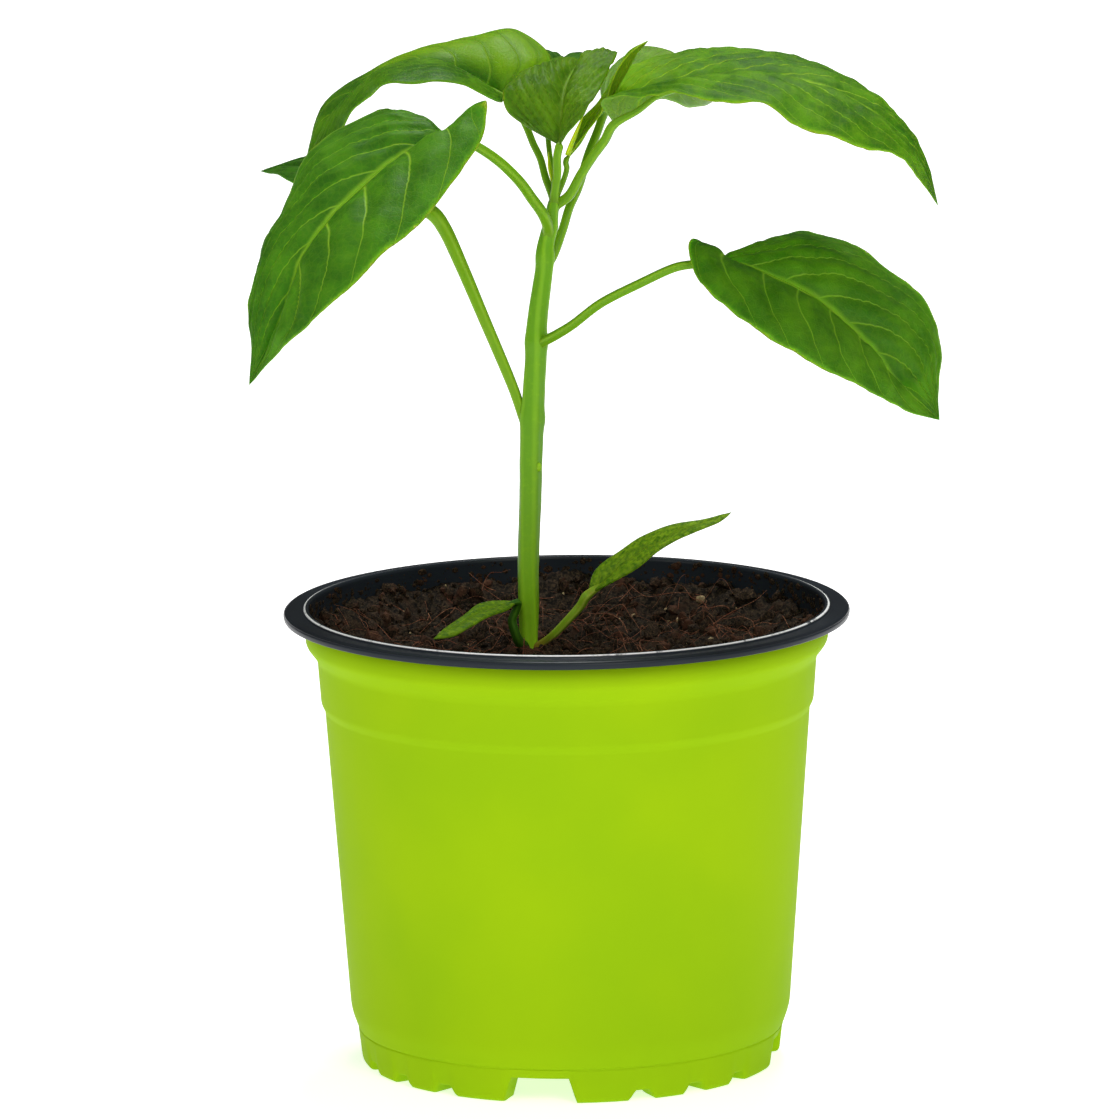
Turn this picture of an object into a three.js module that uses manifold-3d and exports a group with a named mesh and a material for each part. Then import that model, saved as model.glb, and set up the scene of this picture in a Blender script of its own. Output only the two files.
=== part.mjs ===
// Potted sweet pepper plant: a young plant in a round thermoformed nursery pot.
//
// Millimetres, +Z up. The origin is on the pot's axis, in the plane that the pot stands on.
// The plant's front is -Y and +X is its right.

import * as THREE from "three";
import Module from "manifold-3d";
import { LoftGeometry } from "three/addons/geometries/LoftGeometry.js";
import { mergeVertices } from "three/addons/utils/BufferGeometryUtils.js";

const wasm = await Module();
wasm.setup();

// ---------------------------------------------------------------- driving dimensions

const GAP = 0.3; // left between pieces that touch
const SLIVER = 0.02; // detail smaller than this is dropped
const TURN = 64; // steps round the pot

const pot = {
  height: 98,
  rimRadius: 60,
  lipWidth: 4.8, // the rolled lip, across
  lipDrop: 2.3, // and how far its edge turns down
  wall: 1,
  neckRadius: 55.6, // straight band under the lip
  neckBottom: 90.5,
  collarRadius: 52.9, // narrower band below it, which stacks inside another pot
  collarTop: 87.3,
  collarBottom: 77.8,
  bodyTopRadius: 51.4,
  bodyTop: 76.2,
  bodyBottomRadius: 46.7,
  bodyBottom: 11.5,
  footRadius: 44.4,
  skirtRadius: 45.3,
  skirtTop: 7.5,
  footWidth: 6.8,
  floorHeight: 5.3, // under the floor, between the feet
  bossRadius: 9, // middle foot, which carries the floor
};

// The ring of feet has four wide channels, and three narrow notches between each two of them.
const channels = { first: -98.7, wide: 16, narrow: 4, wideHeight: 5.3, narrowHeight: 2, feet: [18.5, 12.5, 12.5, 18.5] };
const drain = { holes: 8, radius: 3.5, circle: 27 };

const soil = { top: 88, edge: 89.4 };

const blade = { rib: 0.75, margin: 0.45, rows: 15, columns: 4, camber: 0.1 };
const stalkSides = 6;

const colour = {
  pot: 0x9cc31a,
  soil: 0x2b231a,
  stem: 0x6aa324,
  leaf: 0x4d7f1b,
  young: 0x86ab1e,
  seedLeaf: 0x55781a,
};

// Stem centre line, with the radius at each point.
const stemLine = [
  [-8, 0, 70, 1.3],
  [-8, 0, 87, 1.5],
  [-8, 0, 90.5, 1.65],
  [-8, 0, 97, 2.1],
  [-8, 0, 107.5, 2.2],
  [-7.5, 0, 120.5, 2.35],
  [-7, 0, 135.5, 2.5],
  [-6, 0, 150.5, 2.25],
  [-5.5, 0, 159, 2.1],
  [-4, 0, 169.5, 1.85],
  [-3.5, 0, 175, 1.75],
  [-2.5, 0, 179, 1.45],
  [-2, 0, 183, 1.1],
  [-1.5, 0, 185.5, 0.9],
];

// Each leaf has the centre line of its stalk, with the stalk's radius at the stem and at the blade, then the midrib
// and the two margins of its blade, station by station from the blade's base to its tip.
const leaves = {
  // Large leaf at the front left, which hangs forwards. One lobe of its base curls up beside the stalk.
  leaf_front_left: {
    stalk: [[-3, -1, 178.5], [-4, -4, 182], [-6.5, -6, 186], [-9, -9, 190], [-13, -12, 194.5], [-17.5, -14, 198],
      [-21, -14, 199.5]],
    radius: [1.2, 0.9],
    rib: [[-24, -13, 200], [-30, -15, 198.5], [-35.5, -17, 196], [-43, -21, 190], [-50, -25, 183.5], [-55, -28, 176],
      [-58, -30, 167], [-61.5, -31, 158.5], [-65.5, -31, 151]],
    left: [[-24, -13, 200], [-16, -14, 207], [-18, -22, 198], [-27.5, -33, 187], [-36.5, -39, 180], [-45, -42, 172],
      [-53, -41, 165], [-60.5, -35, 157], [-65.5, -31, 151]],
    right: [[-24, -13, 200], [-31, -5, 204], [-39, -2, 204], [-52, -5, 197], [-57.5, -11, 187], [-62.5, -17, 178],
      [-65.5, -24, 167], [-65, -29, 159], [-65.5, -31, 151]],
  },
  // Lowest true leaf, behind it, on a long straight stalk. Its blade lies level and points back.
  leaf_back_left: {
    stalk: [[-8.5, 0, 137.5], [-11, 1, 145], [-17, 3, 159.5], [-21.5, 6, 170], [-25, 8, 177.5]],
    radius: [0.9, 1.3],
    rib: [[-28, 9, 181], [-33.5, 16, 183], [-40, 25, 184], [-47.5, 36, 184], [-56, 47, 184.5], [-65, 55, 183]],
    left: [[-28, 9, 181], [-35, 4, 182.5], [-44.5, 10, 182.5], [-52, 22, 183], [-59.5, 38, 184], [-65, 55, 183]],
    right: [[-28, 9, 181], [-30.5, 24, 184], [-34.5, 37, 185], [-43, 49, 186], [-52.5, 55, 186], [-65, 55, 183]],
  },
  // Arching leaf at the upper left, folded along its midrib, with a drooping end.
  leaf_upper_left: {
    stalk: [[-2, 2, 184.5], [-3.5, 5, 188.5], [-4.5, 8, 192], [-6, 10, 195], [-7.5, 12, 198.5], [-9.5, 14, 202]],
    radius: [0.85, 0.75],
    rib: [[-12.5, 15, 204.5], [-16.5, 16, 207], [-21.5, 17, 209], [-26, 18, 211], [-31.5, 19, 211],
      [-37.5, 20, 208.5], [-43, 20, 205], [-48, 19, 201], [-52, 17, 195], [-55, 14, 187]],
    left: [[-12.5, 15, 204.5], [-13, 8, 204], [-19, 0, 208.5], [-25.5, -3, 210], [-31.5, -3, 210],
      [-37.5, -1, 209], [-41, 4, 205.5], [-45, 8, 201], [-49, 11, 194], [-55, 14, 187]],
    right: [[-12.5, 15, 204.5], [-2, 22, 211], [-9.5, 30, 216.5], [-19, 33, 214.5], [-28.5, 34, 211.5],
      [-37, 33, 208.5], [-45.5, 32, 204], [-51, 28, 200.5], [-53, 22, 193.5], [-55, 14, 187]],
  },
  // Young upright leaf in the middle, which bends over backwards at the top.
  leaf_centre: {
    stalk: [[-1.5, -1, 186.8], [-1, -2, 190.5], [-1, -3, 194]],
    radius: [0.9, 0.9],
    rib: [[-0.5, -3, 196.5], [-0.5, -2, 198.5], [0, 0, 202], [0.5, 4, 206], [1.5, 9, 209], [3, 15, 210.5],
      [4.5, 20, 210.5], [7, 25, 209]],
    left: [[-0.5, -3, 196.5], [-7.5, 1, 200], [-11.5, 1, 203.5], [-12, 3, 207.5], [-8.5, 9, 210], [-3.5, 15, 211],
      [1, 20, 211], [7, 25, 209]],
    right: [[-0.5, -3, 196.5], [1.5, -6, 199.5], [4.5, -5, 203], [7.3, -1.5, 206.5], [9.8, 6, 210], [12, 12, 213.5],
      [11, 19, 212], [7, 25, 209]],
  },
  // Youngest leaf, still folded shut, beside it.
  leaf_folded: {
    stalk: [[-0.5, 1.5, 186.5], [0.5, 1.5, 189], [1, 1, 191]],
    radius: [0.6, 0.55],
    rib: [[1, 1, 193], [3.5, 1.5, 196.5], [6, 1.5, 200.5], [9, 0.5, 204], [13, -1, 211], [15.5, -2, 215.5],
      [18.5, -2, 218.5]],
    left: [[1, 1, 193], [2, 3, 196.5], [4.5, 3, 201.5], [7.8, 1, 205.3], [11.5, -1.6, 211.5], [14, -2, 216],
      [18.5, -2, 218.5]],
    right: [[1, 1, 193], [3, -1, 196], [6.5, -2, 200.5], [9, -3, 204.5], [11.5, -5, 212], [15, -5, 216.5],
      [18.5, -2, 218.5]],
  },
  // Leaf that points straight back.
  leaf_back: {
    stalk: [[-1.7, 2.4, 187.5], [-2.3, 4.4, 191.5], [-2.8, 8.5, 195.5], [-3, 13.5, 200]],
    radius: [0.6, 0.6],
    rib: [[-3, 19, 204], [-2, 27, 206], [-1, 37, 208], [0.5, 48, 208], [2, 58, 205.5], [3.5, 66, 201]],
    left: [[-3, 19, 204], [-8, 30, 206.5], [-9, 41, 209], [-7, 52, 208], [-2.5, 61, 204.5], [3.5, 66, 201]],
    right: [[-3, 19, 204], [3, 24, 204.5], [6, 34, 206.5], [7.5, 45, 208], [7, 56, 206], [3.5, 66, 201]],
  },
  // Largest leaf, at the upper right.
  leaf_upper_right: {
    stalk: [[-1.5, 1, 183], [1.5, 0, 185.5], [4, -1, 190], [6.5, -2, 194], [9, -3, 197.5]],
    radius: [1.05, 1],
    rib: [[11, -4, 201], [15.5, -5, 204.5], [20.5, -6, 208], [28, -7, 210], [35.5, -8, 211.5], [43.5, -9, 211.5],
      [51, -10, 210.5], [57.5, -11, 208.5], [64, -12, 205], [69.5, -13, 200], [74.5, -14, 193.5], [78.5, -14, 184.5]],
    left: [[11, -4, 201], [10.5, 6, 208.5], [16, 12, 211.5], [25, 15, 212.5], [34.5, 14, 213.5], [43, 12, 212.5],
      [52.5, 10, 210.5], [60.5, 6, 207], [67, 2, 203], [72, -3, 199], [76, -9, 192.5], [78.5, -14, 184.5]],
    right: [[11, -4, 201], [8.5, -8, 207], [19, -17, 209], [26.5, -24, 209.5], [35, -28, 209], [43, -29, 207.5],
      [48.5, -30, 204.5], [56, -29, 201], [62, -27, 199], [69, -23, 196.5], [74, -19, 191.5], [78.5, -14, 184.5]],
  },
  // Leaf at the back right, which arches over and droops.
  leaf_back_right: {
    stalk: [[-2, 2, 172.5], [0, 4, 177.5], [1.5, 6, 182], [3.5, 9, 186], [5.5, 12, 192], [7.5, 15, 196.5]],
    radius: [1, 0.9],
    rib: [[9, 18, 200], [11, 24, 203], [14.5, 32, 205.5], [19.5, 41, 206], [24.5, 50, 204.5], [29, 57, 200.5],
      [32.5, 61, 196]],
    left: [[9, 18, 200], [8.5, 32, 204.5], [12.5, 44, 208], [18.5, 53, 209.5], [24, 60, 207], [29, 64, 202],
      [32.5, 61, 196]],
    right: [[9, 18, 200], [13, 18, 200.5], [17.5, 23, 201], [22, 32, 201], [26.5, 41, 198], [30.5, 52, 196.5],
      [32.5, 61, 196]],
  },
  // Large leaf at the lower right, which hangs forwards on a long stalk.
  leaf_lower_right: {
    stalk: [[-5, -1, 154], [-1.5, -4, 156.5], [2, -6, 159], [8, -9, 164], [16, -12, 168.5], [23, -14, 172]],
    radius: [1, 0.9],
    rib: [[27, -15, 173], [28.5, -15, 173], [30.5, -16, 173.5], [33, -17, 174], [40, -19, 172.5], [46.5, -21, 170],
      [53, -23, 166.5], [58.5, -25, 162], [63.5, -27, 157.5], [68, -28, 151.5], [71.5, -29, 148], [78, -30, 142]],
    left: [[27, -15, 173], [26.5, -17, 176], [28.5, -12, 177], [32.5, -7, 173], [41.5, -3, 175.5], [50.5, -2, 177.5],
      [60.5, -3, 175], [68.5, -6, 170], [75.5, -11, 164], [79, -17, 155.5], [78, -24, 148.5], [78, -30, 142]],
    right: [[27, -15, 173], [26.5, -20, 172], [28.5, -26, 170], [31.5, -30, 168], [35.5, -35, 165.5],
      [41, -39, 162], [47.5, -42, 158.5], [53.5, -43, 155], [59.5, -41, 152], [65.5, -38, 148.5], [71, -34, 144.5],
      [78, -30, 142]],
  },
  // The two seed leaves, close above the soil.
  seed_leaf_left: {
    stalk: [[-10, -3, 90.5], [-11, -4, 93], [-11.5, -4, 95.5], [-10.5, -4, 98]],
    radius: [0.6, 0.6],
    rib: [[-10.5, -5, 99.5], [-14, -7, 99], [-18, -11, 98.5], [-21.5, -16, 97.5], [-25, -20, 96.5], [-28, -24, 95.5]],
    left: [[-10.5, -5, 99.5], [-12.5, -9, 98.5], [-16.5, -14, 98], [-20, -19, 97], [-24, -22, 95.5],
      [-28, -24, 95.5]],
    right: [[-10.5, -5, 99.5], [-14.5, -4, 99.5], [-18.5, -7, 99.5], [-22, -13, 98], [-25.5, -18, 96.5],
      [-28, -24, 95.5]],
  },
  seed_leaf_right: {
    stalk: [[-4.5, -2, 90.5], [-2.5, -4, 92.5], [0.5, -6, 96], [3, -7, 99]],
    radius: [0.6, 0.6],
    rib: [[4.5, -8, 101.5], [8.5, -9, 105], [13, -10, 109], [18.5, -11, 112.5], [24.5, -11, 115.5], [30, -11, 117.5],
      [35, -11, 119.5]],
    left: [[4.5, -8, 101.5], [6, -7, 106.5], [11, -7, 110.5], [16.5, -7, 114], [23, -8, 116.5], [29.5, -9, 117.5],
      [35, -11, 119.5]],
    right: [[4.5, -8, 101.5], [9.5, -11, 104.5], [15, -13, 108], [20.5, -14, 112.5], [26.5, -14, 115.5],
      [32, -13, 117.5], [35, -11, 119.5]],
  },
};

// The growing tip's two smallest leaves are still plain spikes, each with its radius at the base.
const spikes = {
  bud_right: { line: [[1.2, -2.6, 194.5], [2.1, -3.3, 197], [3.3, -3.7, 200], [4.8, -3.8, 203.5]], radius: 0.5 },
  bud_left: { line: [[-1.9, 0.9, 188.5], [-2.6, 1, 191.5], [-2.8, 1, 194.5]], radius: 0.45 },
};

// ---------------------------------------------------------------- solids

const point = ([x, y, z]) => new THREE.Vector3(x, y, z);

/** Smooth curve through points, with even steps between its stations. */
function curve(points) {
  return new THREE.CatmullRomCurve3(points.map(point), false, "catmullrom", 0.5);
}

/** A closed geometry as a manifold solid. Triangles that a pole has shrunk to a line are left out. */
function solid(geometry) {
  const bare = new THREE.BufferGeometry().setAttribute("position", geometry.getAttribute("position"));
  if (geometry.index) bare.setIndex(geometry.index);
  const { attributes, index } = mergeVertices(bare, 1e-4);
  const corners = [];
  for (let i = 0; i < index.count; i += 3) {
    const [a, b, c] = [index.getX(i), index.getX(i + 1), index.getX(i + 2)];
    if (a !== b && b !== c && c !== a) corners.push(a, b, c);
  }
  return new wasm.Manifold(new wasm.Mesh({
    numProp: 3,
    vertProperties: new Float32Array(attributes.position.array),
    triVerts: new Uint32Array(corners),
  }));
}

/** A manifold solid as a geometry, without the slivers that cuts and joins leave. */
function geometryOf(manifold) {
  const { vertProperties, triVerts } = manifold.simplify(SLIVER).getMesh();
  const geometry = new THREE.BufferGeometry();
  geometry.setAttribute("position", new THREE.BufferAttribute(vertProperties, 3));
  geometry.setIndex(new THREE.BufferAttribute(triVerts, 1));
  geometry.computeVertexNormals();
  return geometry;
}

/** The profile, [radius, height] from axis to axis, turned about Z. */
function turned(profile) {
  const points = profile.map(([r, z]) => new THREE.Vector2(r, z));
  return new THREE.LatheGeometry(points, TURN).rotateX(Math.PI / 2);
}

/** Round rod along a centre line. radiusAt gives its radius from 0, the start, to 1. */
function rod(points, radiusAt, sides, steps) {
  const line = curve(points);
  const { normals, binormals } = line.computeFrenetFrames(steps, false);
  const rings = normals.map((normal, i) => {
    const centre = line.getPointAt(i / steps);
    const radius = radiusAt(i / steps);
    return Array.from({ length: sides }, (_, j) => {
      const angle = (2 * Math.PI * j) / sides;
      return centre.clone()
        .addScaledVector(normal, radius * Math.cos(angle))
        .addScaledVector(binormals[i], radius * Math.sin(angle));
    });
  });
  return new LoftGeometry(rings, { capStart: true, capEnd: true });
}

/** Part of a ring between two angles in degrees, standing on z = bottom. */
function sector(inner, outer, from, to, bottom, height) {
  const [a, b] = [THREE.MathUtils.degToRad(from), THREE.MathUtils.degToRad(to)];
  const shape = new THREE.Shape();
  shape.absarc(0, 0, outer, a, b, false);
  shape.absarc(0, 0, inner, b, a, true);
  const block = new THREE.ExtrudeGeometry(shape, { depth: height, bevelEnabled: false, curveSegments: 6 });
  return solid(block.translate(0, 0, bottom));
}

// ---------------------------------------------------------------- pot

/** Channels round the ring of feet: the angles each one runs between, and its height. */
function channelList() {
  const list = [];
  for (let quarter = 0; quarter < 4; quarter += 1) {
    let angle = channels.first + 90 * quarter - channels.wide / 2;
    list.push({ from: angle, to: angle + channels.wide, height: channels.wideHeight });
    angle += channels.wide;
    channels.feet.slice(0, -1).forEach((foot) => {
      angle += foot;
      list.push({ from: angle, to: angle + channels.narrow, height: channels.narrowHeight });
      angle += channels.narrow;
    });
  }
  return list;
}

/** Outside of the pot's wall from the skirt up to the lip's underside. */
function outerWall() {
  return [
    [pot.footRadius, 0],
    [pot.skirtRadius, pot.skirtTop],
    [pot.bodyBottomRadius, pot.bodyBottom],
    [pot.bodyTopRadius, pot.bodyTop],
    [pot.collarRadius - 0.7, pot.collarBottom],
    [pot.collarRadius, pot.collarTop],
    [pot.neckRadius - 0.3, pot.neckBottom],
  ];
}

function buildPot() {
  const { wall, footWidth, floorHeight, bossRadius, height, rimRadius, lipDrop, lipWidth } = pot;
  const outside = outerWall();
  const inside = outside.slice(2).reverse().map(([r, z]) => [r - wall, z]);
  const sole = pot.footRadius - footWidth;
  const lip = [
    [pot.neckRadius, height - 1.2],
    [rimRadius - 1.1, height - 1.2],
    [rimRadius - 1.1, height - lipDrop],
    [rimRadius - 0.3, height - lipDrop],
    [rimRadius, height - lipDrop + 0.5],
    [rimRadius, height - 0.6],
    [rimRadius - 0.6, height],
    [rimRadius - lipWidth, height],
    [pot.neckRadius - wall, height - 0.8],
  ];
  const floorTop = floorHeight + wall;
  let body = solid(turned([
    [0, 0], [bossRadius, 0], [bossRadius + 1, floorHeight], [sole - 1, floorHeight], [sole, 0],
    ...outside,
    ...lip,
    ...inside,
    [pot.skirtRadius - wall, pot.skirtTop], [pot.footRadius - wall, wall], [sole + wall, wall],
    [sole - 0.2, floorTop], [bossRadius + 0.4, floorTop], [bossRadius - wall, wall], [0, wall],
  ]));
  const cuts = [];
  for (const { from, to, height: rise } of channelList()) {
    const skin = THREE.MathUtils.radToDeg(wall / pot.footRadius);
    body = body.add(sector(sole + 0.2, pot.footRadius - 0.2, from - skin, to + skin, 0.2, rise + wall - 0.2));
    cuts.push(sector(sole - 3, pot.rimRadius, from, to, -1, rise + 1));
  }
  for (let i = 0; i < drain.holes; i += 1) {
    const angle = ((i + 0.5) / drain.holes) * 2 * Math.PI;
    const hole = new THREE.CylinderGeometry(drain.radius, drain.radius, 6, 20).rotateX(Math.PI / 2);
    hole.translate(drain.circle * Math.cos(angle), drain.circle * Math.sin(angle), floorHeight);
    cuts.push(solid(hole));
  }
  return body.subtract(wasm.Manifold.union(cuts));
}

// ---------------------------------------------------------------- soil and stem

function buildSoil(stemSpace) {
  const { wall, floorHeight } = pot;
  const side = outerWall().slice(2, 6).map(([r, z]) => [r - wall - GAP, z]);
  const mound = turned([
    [0, floorHeight + wall + GAP],
    [pot.skirtRadius - wall - GAP - 0.6, floorHeight + wall + GAP + 1.2],
    ...side,
    [pot.collarRadius - wall - GAP + 0.3, soil.edge - 1.4],
    [pot.collarRadius - wall - 1.5, soil.edge - 0.4],
    [44, soil.top + 0.4],
    [30, soil.top - 0.7],
    [16, soil.top],
    [0, soil.top + 0.3],
  ]);
  return solid(mound).subtract(stemSpace);
}

/** The stem, or with grow the space that its neighbours keep clear of. */
function buildStem(grow = 0) {
  const radii = stemLine.map((entry) => entry[3]);
  const radiusAt = (t) => {
    const at = t * (radii.length - 1);
    const i = Math.min(Math.floor(at), radii.length - 2);
    return THREE.MathUtils.lerp(radii[i], radii[i + 1], at - i) + grow;
  };
  const line = curve(stemLine);
  const steps = 34;
  const rings = Array.from({ length: steps + 1 }, (_, i) => {
    const t = i / steps;
    const centre = line.getPoint(t);
    const shift = grow * (2 * t - 1);
    return Array.from({ length: 12 }, (_, j) => {
      const angle = (2 * Math.PI * j) / 12;
      const radius = radiusAt(t);
      return new THREE.Vector3(
        centre.x + radius * Math.cos(angle), centre.y + radius * Math.sin(angle), centre.z + shift);
    });
  });
  return solid(new LoftGeometry(rings, { capStart: true, capEnd: true }));
}

// ---------------------------------------------------------------- leaves

/** Section across a blade at t along it: its upper skin from margin to margin, then its lower skin back. */
function bladeSection({ rib, left, right }, t) {
  const centre = rib.getPoint(t);
  const along = rib.getTangent(t);
  const sides = [left, right].map((rail) => rail.getPoint(t).sub(centre));
  const up = new THREE.Vector3().crossVectors(sides[1].clone().sub(sides[0]), along).normalize();
  const upper = [];
  const lower = [];
  for (let i = -blade.columns; i <= blade.columns; i += 1) {
    const out = Math.abs(i) / blade.columns;
    const side = sides[i < 0 ? 0 : 1];
    const crown = blade.camber * side.length() * 4 * out * (1 - out);
    const half = THREE.MathUtils.lerp(blade.rib, blade.margin, out) / 2;
    const across = new THREE.Vector3().crossVectors(side, along).normalize().multiplyScalar(i < 0 ? -1 : 1);
    const normal = i === 0 ? up : across.add(up).normalize();
    const skin = centre.clone().addScaledVector(side, out).addScaledVector(up, crown);
    upper.push(skin.clone().addScaledVector(normal, half));
    lower.push(skin.clone().addScaledVector(normal, -half));
  }
  return [...upper, ...lower.reverse()];
}

/** Spread of blade stations from just past the base to just before the tip, closer together at both ends. */
const stations = Array.from({ length: blade.rows + 1 }, (_, i) => {
  const t = i / blade.rows;
  return 0.012 + 0.976 * (0.75 * t + 0.25 * (0.5 - 0.5 * Math.cos(Math.PI * t)));
});

function buildLeaf({ stalk, radius, rib, left, right }, grow = 0) {
  const rails = { rib: curve(rib), left: curve(left), right: curve(right) };
  const sections = stations.map((t) => bladeSection(rails, t));
  const pole = (t) => sections[0].map(() => rails.rib.getPoint(t));
  sections.unshift(pole(0));
  sections.push(pole(1));
  const stalkPoints = [...stalk, ...rib.slice(0, -2)];
  const sheet = solid(new LoftGeometry(sections));
  const [atStem, atBlade] = radius;
  const bladeStart = stalk.length / (stalkPoints.length - 1);
  const stalkRadius = (t) => (t < bladeStart
    ? THREE.MathUtils.lerp(atStem, atBlade, t / bladeStart)
    : THREE.MathUtils.lerp(atBlade, 0.4, (t - bladeStart) / (1 - bladeStart))) + grow;
  return sheet.add(solid(rod(stalkPoints, stalkRadius, stalkSides, 2 * stalkPoints.length)));
}

function buildSpike({ line, radius }) {
  return solid(rod(line, (t) => radius * (1 - 0.85 * t * t), stalkSides, 8));
}

// ---------------------------------------------------------------- the plant

const group = new THREE.Group();

function place(name, manifold, hex, roughness) {
  const material = new THREE.MeshStandardMaterial({ color: hex, roughness, metalness: 0 });
  const mesh = new THREE.Mesh(geometryOf(manifold), material);
  mesh.name = name;
  group.add(mesh);
}

const stemSpace = buildStem(GAP);
place("pot", buildPot(), colour.pot, 0.35);
place("soil", buildSoil(stemSpace), colour.soil, 0.95);
place("stem", buildStem(), colour.stem, 0.5);

const young = new Set(["leaf_centre", "leaf_folded", "leaf_back"]);
for (const [name, leaf] of Object.entries(leaves)) {
  const hex = name.startsWith("seed") ? colour.seedLeaf : young.has(name) ? colour.young : colour.leaf;
  place(name, buildLeaf(leaf).subtract(stemSpace), hex, 0.45);
}
for (const [name, spike] of Object.entries(spikes)) {
  place(name, buildSpike(spike).subtract(stemSpace), colour.young, 0.45);
}

export default group;
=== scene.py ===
"""Potted sweet pepper plant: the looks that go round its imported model.

A young plant stands in a round nursery pot, which is green outside and black inside. The pot, the compost
and every part of the plant are made again here in fine meshes, each in place of the plain solid it stands
for. Everything is in metres, +Z up, with the pot's axis on Z and the plant's front towards -Y.
"""

import logging
import math
import random
from dataclasses import dataclass
from enum import Enum
from typing import Callable, Sequence

import bmesh
import bpy
from mathutils import Euler, Matrix, Vector, noise


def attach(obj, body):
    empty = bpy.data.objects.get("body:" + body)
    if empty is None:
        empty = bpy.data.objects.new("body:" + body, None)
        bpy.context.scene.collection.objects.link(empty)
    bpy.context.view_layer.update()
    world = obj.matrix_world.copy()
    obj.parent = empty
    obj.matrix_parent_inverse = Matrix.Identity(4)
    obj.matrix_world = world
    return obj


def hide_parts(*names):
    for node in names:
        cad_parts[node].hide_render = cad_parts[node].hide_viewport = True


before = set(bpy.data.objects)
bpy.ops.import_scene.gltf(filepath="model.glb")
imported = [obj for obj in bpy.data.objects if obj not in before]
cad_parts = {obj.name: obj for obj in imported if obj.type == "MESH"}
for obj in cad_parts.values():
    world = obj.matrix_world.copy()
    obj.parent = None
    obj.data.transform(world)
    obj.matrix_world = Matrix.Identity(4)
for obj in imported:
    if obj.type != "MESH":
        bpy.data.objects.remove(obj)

log = logging.getLogger("pepper_plant")

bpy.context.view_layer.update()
BODY = "root"
MERGE = 2e-7  # corners closer than this are one corner

Point = tuple[float, float, float]
Colour = tuple[float, float, float, float]
WHITE: Colour = (1.0, 1.0, 1.0, 1.0)


def smooth_step(low: float, high: float, value: float) -> float:
    """Rise smoothly from 0 at low to 1 at high.

    Args:
        low: Where the rise starts.
        high: Where it ends.
        value: The place to read it at.

    Returns:
        A number from 0 to 1.
    """
    share = min(max((value - low) / (high - low), 0.0), 1.0)
    return share * share * (3.0 - 2.0 * share)


def blend(first: float, second: float, share: float) -> float:
    """Return the value that lies share of the way from first to second."""
    return first + (second - first) * share


def tint(red: int, green: int, blue: int) -> Colour:
    """Turn a colour of three 0 to 255 display values into a linear one.

    Args:
        red: Red as displayed.
        green: Green as displayed.
        blue: Blue as displayed.

    Returns:
        The linear colour, with full alpha.
    """
    def linear(value: int) -> float:
        """Return one display value as a linear one."""
        share = value / 255.0
        return share / 12.92 if share <= 0.04045 else ((share + 0.055) / 1.055) ** 2.4

    return (linear(red), linear(green), linear(blue), 1.0)


# ---------------------------------------------------------------- lines and meshes


class Rail:
    """A smooth line through a few points, in even steps from one point to the next."""

    STOPS = 120  # short straight stretches that its length is measured over

    def __init__(self, points: Sequence[Point]) -> None:
        """Keep the points as vectors, with one more mirrored past each end."""
        inner = [Vector(point) for point in points]
        self.points = [2 * inner[0] - inner[1], *inner, 2 * inner[-1] - inner[-2]]
        self.spans = len(inner) - 1
        stops = [self.at(i / self.STOPS) for i in range(self.STOPS + 1)]
        self.run = [0.0]
        for start, end in zip(stops, stops[1:]):
            self.run.append(self.run[-1] + (end - start).length)

    def at(self, share: float) -> Vector:
        """Find a place on the line.

        Args:
            share: How far along, from 0 to 1.

        Returns:
            The point there.
        """
        place = min(max(share, 0.0), 1.0) * self.spans
        index = min(int(place), self.spans - 1)
        before, start, end, after = self.points[index:index + 4]
        step = place - index
        leave, arrive = (end - before) / 2, (after - start) / 2
        bend = 3 * (end - start) - 2 * leave - arrive
        twist = 2 * (start - end) + leave + arrive
        return start + step * (leave + step * (bend + step * twist))

    def heading(self, share: float) -> Vector:
        """Return the unit direction of the line at a share of its length."""
        nudge = 1e-4
        return (self.at(share + nudge) - self.at(share - nudge)).normalized()

    def covered(self, share: float) -> float:
        """Give how much of the line's length lies before a place on it.

        Args:
            share: The place, as at() takes it.

        Returns:
            The share of the length, from 0 to 1.
        """
        place = min(max(share, 0.0), 1.0) * self.STOPS
        index = min(int(place), self.STOPS - 1)
        return blend(self.run[index], self.run[index + 1], place - index) / self.run[-1]


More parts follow.
